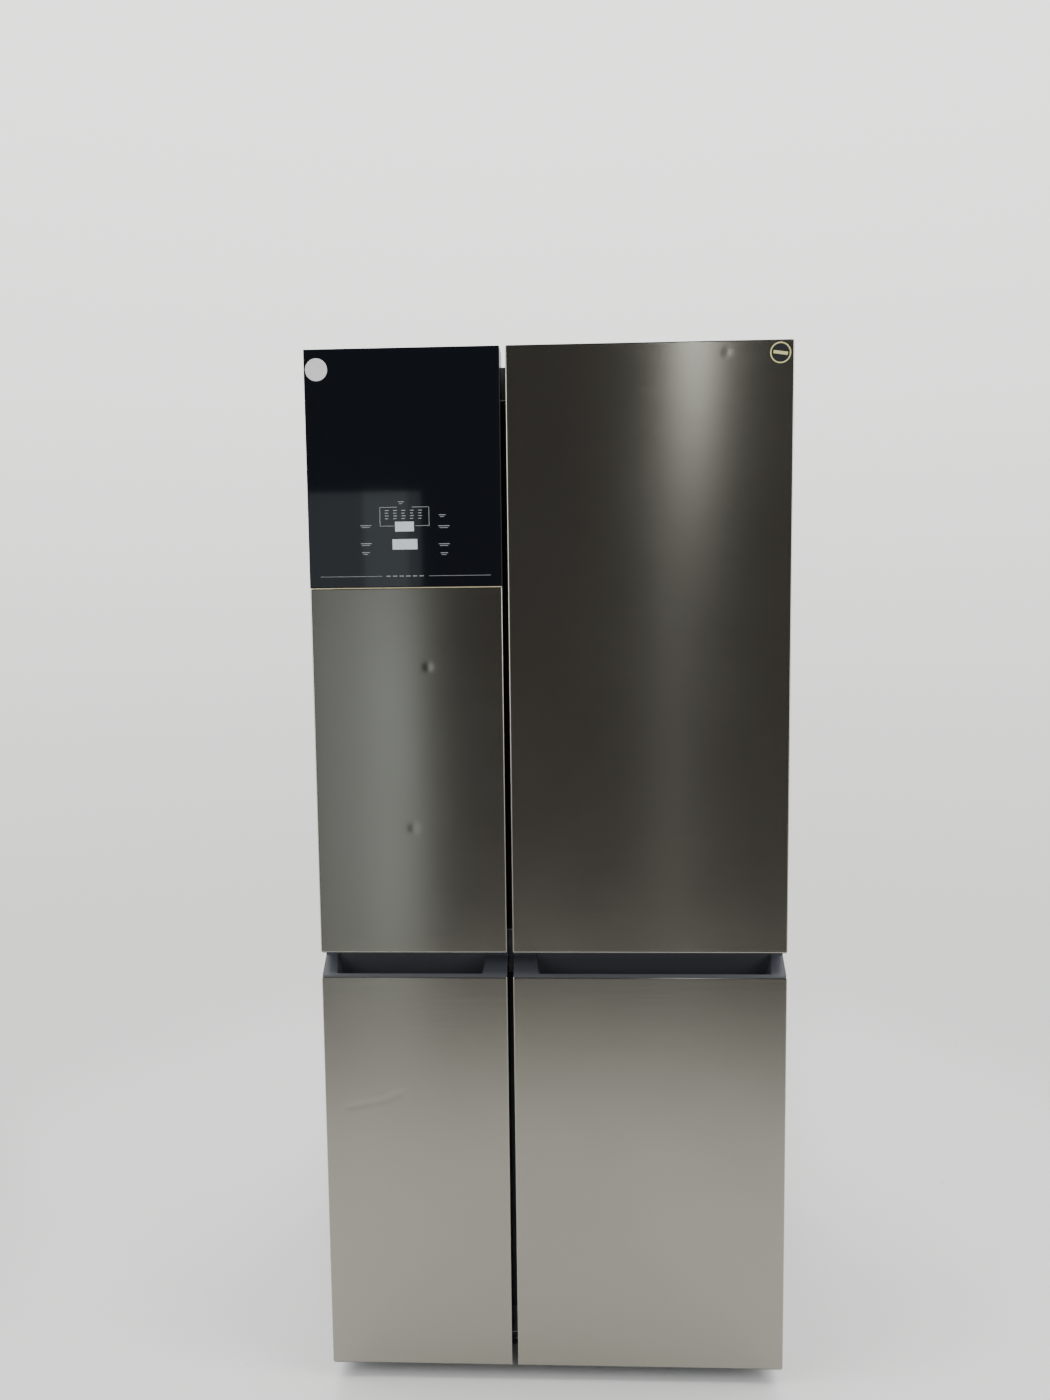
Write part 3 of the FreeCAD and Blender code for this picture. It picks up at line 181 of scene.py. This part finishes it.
def floor():
    """A pale round floor that fades out into the studio."""
    bpy.ops.mesh.primitive_circle_add(vertices=96, radius=FLOOR_END, fill_type="NGON",
                                      location=(0, 0, 0))
    ground = bpy.context.object
    ground.name = "floor"
    white = surface("floor_white", (0.75, 0.755, 0.745), 0.30, grain=2, shade=0.01)
    nodes, links = white.node_tree.nodes, white.node_tree.links
    place = nodes.new("ShaderNodeTexCoord")
    reach = nodes.new("ShaderNodeVectorMath")
    reach.operation = "LENGTH"
    links.new(place.outputs["Object"], reach.inputs[0])
    links.new(ramp(nodes, links, reach.outputs["Value"], FLOOR_FADE, FLOOR_END, 1.0, 0.0),
              nodes["Principled BSDF"].inputs["Alpha"])
    ground.data.materials.append(white)


def studio():
    """Side and top soft boxes light the object; the strips far in front are what the doors mirror."""
    for side in (-1, 1):
        area_light(f"side_box_{side}", (side * 3.3, -1.9, 2.0), (0, -0.3, 0.9), (1.8, 2.6), 5.0)
        area_light(f"top_box_{side}", (side * 2.3, -0.4, 3.6), (side * 0.3, -0.5, 0), (1.6, 3.0), 6.0)
        area_light(f"back_box_{side}", (side * 2.0, 3.2, 2.2), (0, 0.2, 0.8), (1.8, 2.0), 4.0)
    area_light("left_band", (-1.285, STRIPS, 0.62), (-1.285, 0, 0.62), (0.81, 3.04), 0.48,
               (0.84, 0.95, 1.0))
    area_light("left_band_bright", (-1.10, STRIPS + 0.02, 0.62), (-1.10, 0, 0.62), (0.28, 3.04), 0.34,
               (0.88, 0.96, 1.0))
    area_light("right_band", (0.87, STRIPS, 4.2), (0.55, FRONT, 1.6), (0.20, 3.2), 4.6, COOL)
    area_light("right_band_low", (0.70, STRIPS, 0.9), (0.70, 0, 0.9), (0.26, 3.4), 0.14, COOL)


# ---------------------------------------------------------------- materials

def surface(name, colour, rough, metallic=0.0, grain=60, shade=0.06, rough_spread=0.05,
            bump=0.0, bump_depth=0.2 * MM, sockets=None):
    """A surface whose colour, roughness and relief vary with noise in the object's own space.

    The grain is in cycles per metre, either one number or one for each axis.
    """
    made = bpy.data.materials.new(name)
    made.use_nodes = True
    nodes, links = made.node_tree.nodes, made.node_tree.links
    shader = nodes["Principled BSDF"]
    shader.inputs["Metallic"].default_value = metallic
    for socket, value in (sockets or {}).items():
        shader.inputs[socket].default_value = value
    place = nodes.new("ShaderNodeTexCoord")
    stretch = nodes.new("ShaderNodeMapping")
    stretch.inputs["Scale"].default_value = (grain,) * 3 if isinstance(grain, int) else grain
    links.new(place.outputs["Object"], stretch.inputs["Vector"])
    fine = nodes.new("ShaderNodeTexNoise")
    fine.inputs["Scale"].default_value = 1.0
    fine.inputs["Detail"].default_value = 4.0
    links.new(stretch.outputs[0], fine.inputs["Vector"])
    broad = nodes.new("ShaderNodeTexNoise")
    broad.inputs["Scale"].default_value = 5.0
    broad.inputs["Detail"].default_value = 3.0
    links.new(place.outputs["Object"], broad.inputs["Vector"])
    tint = nodes.new("ShaderNodeMix")
    tint.data_type = "RGBA"
    tint.inputs[MIX_A].default_value = (*[c * (1 - shade) for c in colour], 1)
    tint.inputs[MIX_B].default_value = (*[min(1, c * (1 + shade)) for c in colour], 1)
    links.new(fine.outputs["Fac"], tint.inputs[0])
    links.new(tint.outputs[MIX_OUT], shader.inputs["Base Color"])
    both = calculate(nodes, links, "ADD", fine.outputs["Fac"], broad.outputs["Fac"])
    polish = nodes.new("ShaderNodeMapRange")
    polish.inputs["From Min"].default_value = 0.5
    polish.inputs["From Max"].default_value = 1.5
    polish.inputs["To Min"].default_value = max(0.01, rough - rough_spread)
    polish.inputs["To Max"].default_value = min(1.0, rough + rough_spread)
    links.new(both, polish.inputs["Value"])
    links.new(polish.outputs[0], shader.inputs["Roughness"])
    if bump:
        relief = nodes.new("ShaderNodeBump")
        relief.inputs["Strength"].default_value = bump
        relief.inputs["Distance"].default_value = bump_depth
        links.new(fine.outputs["Fac"], relief.inputs["Height"])
        links.new(relief.outputs[0], shader.inputs["Normal"])
    return made


def brushed(name, colour, rough, anisotropy):
    """Sheet steel with its grain across the door, which draws reflections out up and down."""
    made = surface(name, colour, rough, metallic=1.0, grain=(7, 7, 1300), shade=0.055, rough_spread=0.03,
                   bump=0.035, bump_depth=0.02 * MM,
                   sockets={"Anisotropic": anisotropy, "Anisotropic Rotation": 0.25})
    nodes, links = made.node_tree.nodes, made.node_tree.links
    along = nodes.new("ShaderNodeTangent")
    along.direction_type = "RADIAL"
    along.axis = "Z"
    links.new(along.outputs[0], nodes["Principled BSDF"].inputs["Tangent"])
    return made


def glowing(name, colour, strength):
    """A surface that also gives off its own light."""
    made = surface(name, colour, 0.4, grain=200, shade=0.02)
    shader = made.node_tree.nodes["Principled BSDF"]
    shader.inputs["Emission Color"].default_value = (*colour, 1)
    shader.inputs["Emission Strength"].default_value = strength
    return made


def slot_materials():
    """One material for each of the record's slots."""
    return {
        "steel_front": brushed("steel_front", (0.33, 0.313, 0.272), 0.205, 0.88),
        "cabinet_paint": surface("cabinet_paint", (0.085, 0.088, 0.093), 0.42, metallic=0.3, grain=900,
                                 shade=0.1, bump=0.12, bump_depth=0.08 * MM),
        "zinc_sheet": surface("zinc_sheet", (0.58, 0.59, 0.6), 0.38, metallic=0.9, grain=40, shade=0.14),
        "hinge_steel": surface("hinge_steel", (0.12, 0.12, 0.125), 0.4, metallic=0.7, grain=300),
        "foam": surface("foam", (0.80, 0.70, 0.42), 0.9, grain=260, shade=0.12, bump=0.5,
                        bump_depth=0.6 * MM),
        "white_liner": surface("white_liner", (0.80, 0.81, 0.82), 0.34, grain=500, shade=0.015,
                               bump=0.05, bump_depth=0.1 * MM),
        "dark_cap": surface("dark_cap", (0.046, 0.050, 0.060), 0.36, grain=1400, shade=0.1,
                            bump=0.16, bump_depth=0.06 * MM),
        "post_paint": surface("post_paint", (0.020, 0.022, 0.029), 0.4, grain=800, shade=0.1,
                              bump=0.08, bump_depth=0.05 * MM),
        "pale_rail": surface("pale_rail", (0.34, 0.35, 0.36), 0.45, grain=700, shade=0.04),
        "seal": surface("seal", (0.075, 0.078, 0.085), 0.6, grain=(400, 400, 60), shade=0.08, bump=0.1),
        "black_glass": surface("black_glass", (0.0022, 0.0036, 0.0068), 0.045, grain=8, shade=0.05,
                               rough_spread=0.015, sockets={"IOR": 1.52, "Coat Weight": 0.3}),
        "shelf_glass": surface("shelf_glass", (0.88, 0.96, 0.94), 0.04, grain=6, shade=0.01,
                               rough_spread=0.02, sockets={"Transmission Weight": 1.0, "IOR": 1.5}),
        "clear_tray": surface("clear_tray", (0.86, 0.92, 0.94), 0.16, grain=30, shade=0.02,
                              sockets={"Transmission Weight": 0.85, "IOR": 1.5}),
        "white_plastic": surface("white_plastic", (0.76, 0.77, 0.78), 0.45, grain=900, shade=0.02,
                                 bump=0.08, bump_depth=0.06 * MM),
        "board": surface("board", (0.02, 0.14, 0.06), 0.5, grain=300, shade=0.4),
        "black_plastic": surface("black_plastic", (0.018, 0.018, 0.02), 0.5, grain=1100, shade=0.1,
                                 bump=0.15, bump_depth=0.06 * MM),
        "black_steel": surface("black_steel", (0.012, 0.012, 0.013), 0.3, grain=200, shade=0.2,
                               sockets={"Coat Weight": 0.4}),
        "fin_aluminium": surface("fin_aluminium", (0.74, 0.75, 0.77), 0.32, metallic=1.0,
                                 grain=(30, 900, 900)),
        "black_rubber": surface("black_rubber", (0.02, 0.02, 0.02), 0.72, grain=300, shade=0.1, bump=0.1),
        "frosted_lamp": glowing("frosted_lamp", (0.93, 0.95, 1.0), 2.0),
        "rear_sheet": surface("rear_sheet", (0.17, 0.175, 0.18), 0.46, metallic=0.3, grain=500,
                              shade=0.05, bump=0.08),
    }


# ---------------------------------------------------------------- mesh helpers

def finish_piece(obj, material, body, smooth=False):
    """Gives a piece its material and slot, and rides it on its body."""
    obj.data.materials.append(material)
    if smooth:
        for face in obj.data.polygons:
            face.use_smooth = True
    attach(obj, body)
    return obj


def from_bmesh(name, shape):
    """Turns a bmesh into an object."""
    bmesh.ops.recalc_face_normals(shape, faces=shape.faces)
    mesh = bpy.data.meshes.new(name)
    shape.to_mesh(mesh)
    shape.free()
    obj = bpy.data.objects.new(name, mesh)
    bpy.context.collection.objects.link(obj)
    return obj


def block(shape, low, high):
    """Adds a closed block to a bmesh."""
    corners = [shape.verts.new((x, y, z))
               for z in (low[2], high[2])
               for y in (low[1], high[1])
               for x in (low[0], high[0])]
    for face in ((0, 2, 3, 1), (4, 5, 7, 6), (0, 1, 5, 4), (2, 6, 7, 3), (0, 4, 6, 2), (1, 3, 7, 5)):
        shape.faces.new([corners[index] for index in face])


def circle(shape, centre, radius, y, steps):
    """Adds points round a circle across Y, or just its centre, to a bmesh."""
    if not radius:
        return [shape.verts.new((centre[0], y, centre[1]))]
    return [shape.verts.new((centre[0] + radius * math.cos(math.tau * k / steps), y,
                             centre[1] + radius * math.sin(math.tau * k / steps)))
            for k in range(steps)]


def disc(shape, centre, radius, near, far, steps=64, hole=0.0):
    """Adds a closed disc or ring that faces -Y to a bmesh."""
    rings = [circle(shape, centre, reach, y, steps) for y in (near, far) for reach in (radius, hole)]
    outer_near, inner_near, outer_far, inner_far = rings
    for k in range(steps):
        after = (k + 1) % steps
        shape.faces.new((outer_near[k], outer_near[after], outer_far[after], outer_far[k]))
        for outer, inner in ((outer_near, inner_near), (outer_far, inner_far)):
            if hole:
                shape.faces.new((outer[k], outer[after], inner[after], inner[k]))
            else:
                shape.faces.new((outer[k], outer[after], inner[0]))
        if hole:
            shape.faces.new((inner_near[k], inner_near[after], inner_far[after], inner_far[k]))


def soften(obj, width, segments=2, angle=35):
    """Rounds a piece's edges without changing its mesh."""
    bevel = obj.modifiers.new("edges", "BEVEL")
    bevel.width = width
    bevel.segments = segments
    bevel.limit_method = "ANGLE"
    bevel.angle_limit = math.radians(angle)
    bevel.harden_normals = False


# ---------------------------------------------------------------- steel door fronts

def ruled(low, high, spots):
    """Coordinates from low to high: fine in the folded edges and around each spot, coarse between."""
    lines = set()
    for k in range(BEND_STEPS + 1):
        lines.update((low + BEND * k / BEND_STEPS, high - BEND * k / BEND_STEPS))
    lines.update((low + BEND + FLAT_START, high - BEND - FLAT_START))
    flat = high - low - 2 * BEND
    count = max(2, round(flat / RULING))
    lines.update(low + BEND + flat * k / count for k in range(1, count))
    for middle, reach in spots:
        near = [middle + reach * k / DENT_STEPS for k in range(-DENT_STEPS, DENT_STEPS + 1)]
        lines.update(value for value in near if low + 2 * BEND < value < high - 2 * BEND)
    ordered = sorted(lines)
    kept = [ordered[0]]
    for value in ordered[1:]:
        at_edge = value < low + 2 * BEND or value > high - 2 * BEND
        if value - kept[-1] > (FINE_GAP if at_edge else COARSE_GAP):
            kept.append(value)
    kept[-1] = ordered[-1]
    return kept


def grid(shape, rows):
    """Adds quads between rows of points."""
    placed = [[shape.verts.new(point) for point in row] for row in rows]
    for row, after in zip(placed, placed[1:]):
        for k in range(len(row) - 1):
            shape.faces.new((row[k], row[k + 1], after[k + 1], after[k]))


def bend_and_dent(shape, low, high, face, dents):
    """Rounds a sheet's front edges and presses its dents."""
    inner = (Vector((low[0] + BEND, face + BEND, low[1] + BEND)),
             Vector((high[0] - BEND, math.inf, high[1] - BEND)))
    for vert in shape.verts:
        kept = Vector([min(max(value, a), b) for value, a, b in zip(vert.co, *inner)])
        out = vert.co - kept
        if out.length > 1e-9:
            vert.co = kept + out.normalized() * BEND
        if vert.co.y < face + 0.1 * MM:
            for x, z, depth, reach in dents:
                away = math.hypot(vert.co.x - x, vert.co.z - z) / reach
                if away < DENT_END:
                    vert.co.y += depth * math.exp(-away * away / 2)


def beside_hinge(part, edge):
    """Tells whether a face of an upper sheet's outer side would meet the top hinge plate."""
    middle = part.calc_center_median()
    return middle.x > edge - BEND / 2 and middle.y > NOTCH_FRONT and middle.z > NOTCH_LOW


def steel_front(name, node, low, high, dents, body, steel):
    """The folded door sheet: a face with small dents, rounded edges, side returns and folded ends."""
    face = FRONT + SET_BACK
    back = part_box(node)[1][1]
    xs = ruled(low[0], high[0], [(x, DENT_END * reach) for x, _, _, reach in dents])
    zs = ruled(low[1], high[1], [(z, DENT_END * reach) for _, z, _, reach in dents])
    depths = [face + BEND * k / BEND_STEPS for k in range(BEND_STEPS + 1)]
    depths += [face + BEND + FLAT_START, face + LIP]
    sides = depths + [back]
    notched = high[1] > NOTCH_LOW
    if notched:
        zs = sorted(zs + [NOTCH_LOW])
        sides = sorted(sides + [NOTCH_FRONT])
    shape = bmesh.new()
    grid(shape, [[(x, face, z) for x in xs] for z in zs])
    for x in (low[0], high[0]):
        grid(shape, [[(x, y, z) for y in sides] for z in zs])
    for z in (low[1], high[1]):
        grid(shape, [[(x, y, z) for x in xs] for y in depths])
    bmesh.ops.remove_doubles(shape, verts=shape.verts, dist=0.02 * MM)
    if notched:
        cleared = [part for part in shape.faces if beside_hinge(part, high[0])]
        bmesh.ops.delete(shape, geom=cleared, context="FACES")
    bend_and_dent(shape, low, high, face, dents)
    obj = from_bmesh(name, shape)
    sheet = obj.modifiers.new("sheet", "SOLIDIFY")
    sheet.thickness = SHEET
    sheet.offset = -1
    return finish_piece(obj, steel, body, smooth=True)


def door_fronts(steel):
    """A finished sheet for each of the four doors, in place of the plain CAD skins."""
    dents = {                                  # across, up, depth and radius
        "left_upper": [(-0.2119, 1.3245, 0.26 * MM, 4.6 * MM), (-0.2433, 1.0398, 0.2 * MM, 6 * MM)],
        "right_upper": [(-0.0304, 1.0213, 0.12 * MM, 6 * MM), (0.0786, 1.3547, 0.16 * MM, 6 * MM),
                        (0.2675, 1.3666, 0.1 * MM, 8 * MM), (0.3021, 1.8485, 0.1 * MM, 5 * MM)],
        "left_lower": [(-0.2082, 0.3685, 0.2 * MM, 6 * MM)] + crease(),
        "right_lower": [],
    }
    for door, marks in dents.items():
        node = door + "_skin"
        low, high = ((corner.x, corner.z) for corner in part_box(node))
        if door == "left_upper":
            high = (high[0], GLASS_LOW - GLASS_GAP)
        sheet = steel_front(door + "_sheet", node, low, high, marks, door + "_door", steel)
        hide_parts(node)
    glass_returns(steel)


def glass_returns(steel):
    """The steel strips that close the narrow door's sides behind the glass."""
    low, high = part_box("left_upper_skin")
    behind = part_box("control_glass")[1].y + 0.3 * MM
    start = GLASS_LOW - GLASS_GAP
    full = [(behind, start), (high.y, start), (high.y, TOP), (behind, TOP)]
    notched = [(behind, start), (high.y, start), (high.y, NOTCH_LOW), (NOTCH_FRONT, NOTCH_LOW),
               (NOTCH_FRONT, TOP), (behind, TOP)]
    for name, outline, x in (("left_upper_return", notched, low.x),
                             ("left_upper_return_inner", full, high.x - MM)):
        strip = from_bmesh(name, plate(outline, x, x + MM))
        soften(strip, 0.2 * MM)
        finish_piece(strip, steel, "left_upper_door")


def plate(outline, low, high):
    """A flat plate across X with this outline in Y and Z."""
    shape = bmesh.new()
    near = shape.faces.new([shape.verts.new((low, y, z)) for y, z in outline])
    drawn = bmesh.ops.extrude_face_region(shape, geom=[near])["geom"]
    moved = [part for part in drawn if isinstance(part, bmesh.types.BMVert)]
    bmesh.ops.translate(shape, vec=(high - low, 0, 0), verts=moved)
    return shape


def crease():
    """A shallow bent line low on the left door, as a run of small dents."""
    corners = [Vector((-0.374, 0.525)), Vector((-0.306, 0.5388)), Vector((-0.2692, 0.556))]
    pitch, depth, reach = 6 * MM, 0.09 * MM, 4.5 * MM
    run = []
    for start, end in zip(corners, corners[1:]):
        steps = round((end - start).length / pitch)
        for k in range(steps):
            spot = start.lerp(end, k / steps)
            run.append((spot.x, spot.y, depth, reach))
    return run


# ---------------------------------------------------------------- door ends, glass panel and marks

# The touch panel's layout, in millimetres to the right of and below the glass's top left corner.
KEYS = ((151.1, 292.3, 32.6, 16.6), (146.1, 322.0, 43.0, 17.7))          # left, top, width, height
FRAME_LEFT, FRAME_TOP, FRAME_RIGHT, FRAME_BOTTOM = 124.9, 267.2, 210.4, 299.1
FRAME_ARM, FRAME_FOOT = 30, 24                 # how far the frame's lines run in at the top and the bottom
LINE = 0.7
LEVELS, LEVEL_PITCH = 5, 14.4                  # columns of bars in the frame
BARS, BAR_PITCH = 4, 4.6                       # bars in a column
WORDS = ((91, 299.2, 19), (91, 329.9, 19), (93, 345.3, 13), (226, 301.1, 19), (226, 331.8, 19),
         (229, 347.1, 13), (227, 282.4, 12), (157, 259.4, 10))           # left, middle, width
RULES = ((19.9, 126.4), (208.1, 315.4))        # left and right end
RULE_DOWN = 385
DASHES, DASH_PITCH = 6, 11.5


def panel_marks(paint, lit, faint):
    """The touch panel's generic keys, frame and dashes, printed on the upper glass."""
    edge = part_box("control_glass")[0].x

    def mark(shape, x, z, wide, tall):
        left = edge + x * MM
        top = TOP - z * MM
        block(shape, (left, FRONT + SET_BACK - 0.12 * MM, top - tall * MM),
              (left + wide * MM, FRONT + SET_BACK + 0.05 * MM, top))

    keys = bmesh.new()
    for x, z, wide, tall in KEYS:
        mark(keys, x, z, wide, tall)
    outline = bmesh.new()
    for z, arm in ((FRAME_TOP, FRAME_ARM), (FRAME_BOTTOM, FRAME_FOOT)):
        for x in (FRAME_LEFT, FRAME_RIGHT - arm):
            mark(outline, x, z, arm, LINE)
    for x in (FRAME_LEFT, FRAME_RIGHT - LINE):
        mark(outline, x, FRAME_TOP, LINE, FRAME_BOTTOM - FRAME_TOP)
    for column in range(LEVELS):
        for row in range(BARS):
            mark(outline, 134 + LEVEL_PITCH * column, 272.5 + BAR_PITCH * row, 6.5 - 1.1 * (row % 2), 1.1)
    words = bmesh.new()
    for x, z, wide in WORDS:
        mark(words, x, z - 1.6, wide, 1.3)
        mark(words, x + 2, z + 1.6, wide - 5, 1.1)
    for start, end in RULES:
        mark(words, start, RULE_DOWN, end - start, LINE)
    for k in range(DASHES):
        mark(words, 134 + DASH_PITCH * k, RULE_DOWN - 0.6, 7.5, 1.7)
    for name, shape, material in (("panel_keys", keys, lit),
                                  ("panel_frame", outline, faint),
                                  ("panel_dashes", words, paint)):
        finish_piece(from_bmesh(name, shape), material, "left_upper_door")


def stickers(white, dark, pale):
    """Two plain round labels near the top corners of the doors."""
    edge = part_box("left_upper_skin")[0].x
    face = FRONT + SET_BACK
    film, print_film = face - 0.1 * MM, face - 0.16 * MM
    shape = bmesh.new()
    disc(shape, (edge + 21.7 * MM, TOP - 34.3 * MM), 19 * MM, film, face + 0.1 * MM)
    finish_piece(from_bmesh("round_label_left", shape), white, "left_upper_door")
    middle = (edge + 806.4 * MM, TOP - 21.5 * MM)
    shape = bmesh.new()
    disc(shape, middle, 19.2 * MM, film, face + 0.1 * MM)
    finish_piece(from_bmesh("round_label_right", shape), dark, "right_upper_door")
    shape = bmesh.new()
    disc(shape, middle, 17.5 * MM, print_film, face, hole=15.4 * MM)
    finish_piece(from_bmesh("round_label_ring", shape), pale, "right_upper_door")
    shape = bmesh.new()
    block(shape, (-12 * MM, print_film, -2.6 * MM), (12 * MM, face, 2.6 * MM))
    tilt = Matrix.Translation((middle[0], 0, middle[1])) @ Matrix.Rotation(math.radians(8), 4, "Y")
    bmesh.ops.transform(shape, matrix=tilt, verts=shape.verts)
    finish_piece(from_bmesh("round_label_band", shape), pale, "right_upper_door")


def glass_panel(glass):
    """The dark glass with ground edges."""
    low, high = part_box("control_glass")
    shape = bmesh.new()
    block(shape, (low.x, low.y + SET_BACK, low.z), high)
    piece = from_bmesh("control_glass_pane", shape)
    soften(piece, 1.2 * MM, 3)
    finish_piece(piece, glass, "left_upper_door")
    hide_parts("control_glass")


# ---------------------------------------------------------------- back

HEAD_RADIUS, HEAD_RISE, HEAD_SUNK = 4.5 * MM, 2.4 * MM, 0.1 * MM
HEAD_PROFILE = ((1.0, 0.0), (1.0, 0.45), (0.8, 0.85), (0.45, 1.0))       # shares of the radius and the rise


def screw_head(shape, x, seat, z, steps=20):
    """Adds a low screw head that faces +Y and stands on a seat to a bmesh."""
    rings = [circle(shape, (x, z), HEAD_RADIUS * reach, seat - HEAD_SUNK + HEAD_RISE * out, steps)
             for reach, out in HEAD_PROFILE]
    for ring, after in zip(rings, rings[1:]):
        for k in range(steps):
            shape.faces.new((ring[k], ring[(k + 1) % steps], after[(k + 1) % steps], after[k]))
    for ring in (rings[0], rings[-1]):
        shape.faces.new(ring)


def rear_details(screw_steel, sheet_paint):
    """Screw heads round the rear sheets and pressed stiffening beads, all proud of the back sheets."""
    low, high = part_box("rear_panel")
    cover_low, cover_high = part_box("rear_cover")
    sheet = high.y
    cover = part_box("outer_casing")[1].y + 2 * MM
    side, end = 14 * MM, 40 * MM               # how far the screws sit in from the panel's edges
    rows, columns, beads = 7, 4, 4
    shape = bmesh.new()
    for k in range(rows):
        z = low.z + end + (high.z - low.z - 2 * end) * k / (rows - 1)
        for x in (low.x + side, high.x - side):
            screw_head(shape, x, sheet, z)
    for k in range(columns):
        x = low.x + side + (high.x - low.x - 2 * side) * (k + 0.5) / columns
        screw_head(shape, x, sheet, high.z - side)
    for x in (cover_low.x + 16 * MM, 0, cover_high.x - 16 * MM):
        for z in (cover_low.z + 12 * MM, cover_high.z - 12 * MM):
            screw_head(shape, x, cover, z)
    finish_piece(from_bmesh("rear_screws", shape), screw_steel, "cabinet")
    inset, half, rise = 60 * MM, 9 * MM, 2.2 * MM
    shape = bmesh.new()
    for k in range(beads):
        z = low.z + (high.z - low.z) * (k + 1) / (beads + 1)
        block(shape, (low.x + inset, sheet - 0.5 * MM, z - half), (high.x - inset, sheet + rise, z + half))
    piece = from_bmesh("rear_beads", shape)
    soften(piece, 1.9 * MM, 4)
    finish_piece(piece, sheet_paint, "cabinet")


# ---------------------------------------------------------------- CAD nodes

# How far the edges of each slot's pieces are rounded, in millimetres.
EDGES = {
    "dark_cap": 0.7,
    "white_liner": 0.8,
    "white_plastic": 0.6,
    "black_plastic": 0.6,
    "clear_tray": 0.5,
    "shelf_glass": 0.5,
    "zinc_sheet": 0.3,
    "cabinet_paint": 0.3,
    "pale_rail": 0.8,
    "post_paint": 0.8,
    "frosted_lamp": 0.8,
    "hinge_steel": 0.3,
}


def paint_nodes(materials):
    """Gives each CAD node the material of its slot, and rounds the edges of moulded and folded pieces."""
    slot_of = {part["node"]: part["material_slot"] for part in frame["record"]["subparts"]}
    for node, obj in frame["nodes"].items():
        slot = slot_of[node]
        obj.data.materials.clear()
        obj.data.materials.append(materials[slot])
        if slot in EDGES:
            soften(obj, EDGES[slot] * MM)


materials = slot_materials()
camera()
world()
floor()
studio()
paint_nodes(materials)
door_fronts(materials["steel_front"])
glass_panel(materials["black_glass"])
panel_marks(surface("panel_print", (0.30, 0.32, 0.34), 0.5, shade=0.05),
            glowing("panel_lit", (0.60, 0.65, 0.70), 0.16),
            surface("panel_faint", (0.40, 0.43, 0.46), 0.5, shade=0.05))
stickers(surface("label_white", (0.78, 0.79, 0.78), 0.5, shade=0.02),
         surface("label_dark", (0.012, 0.013, 0.015), 0.4, shade=0.1),
         surface("label_pale", (0.72, 0.68, 0.30), 0.5, shade=0.03))
rear_details(materials["zinc_sheet"], materials["rear_sheet"])
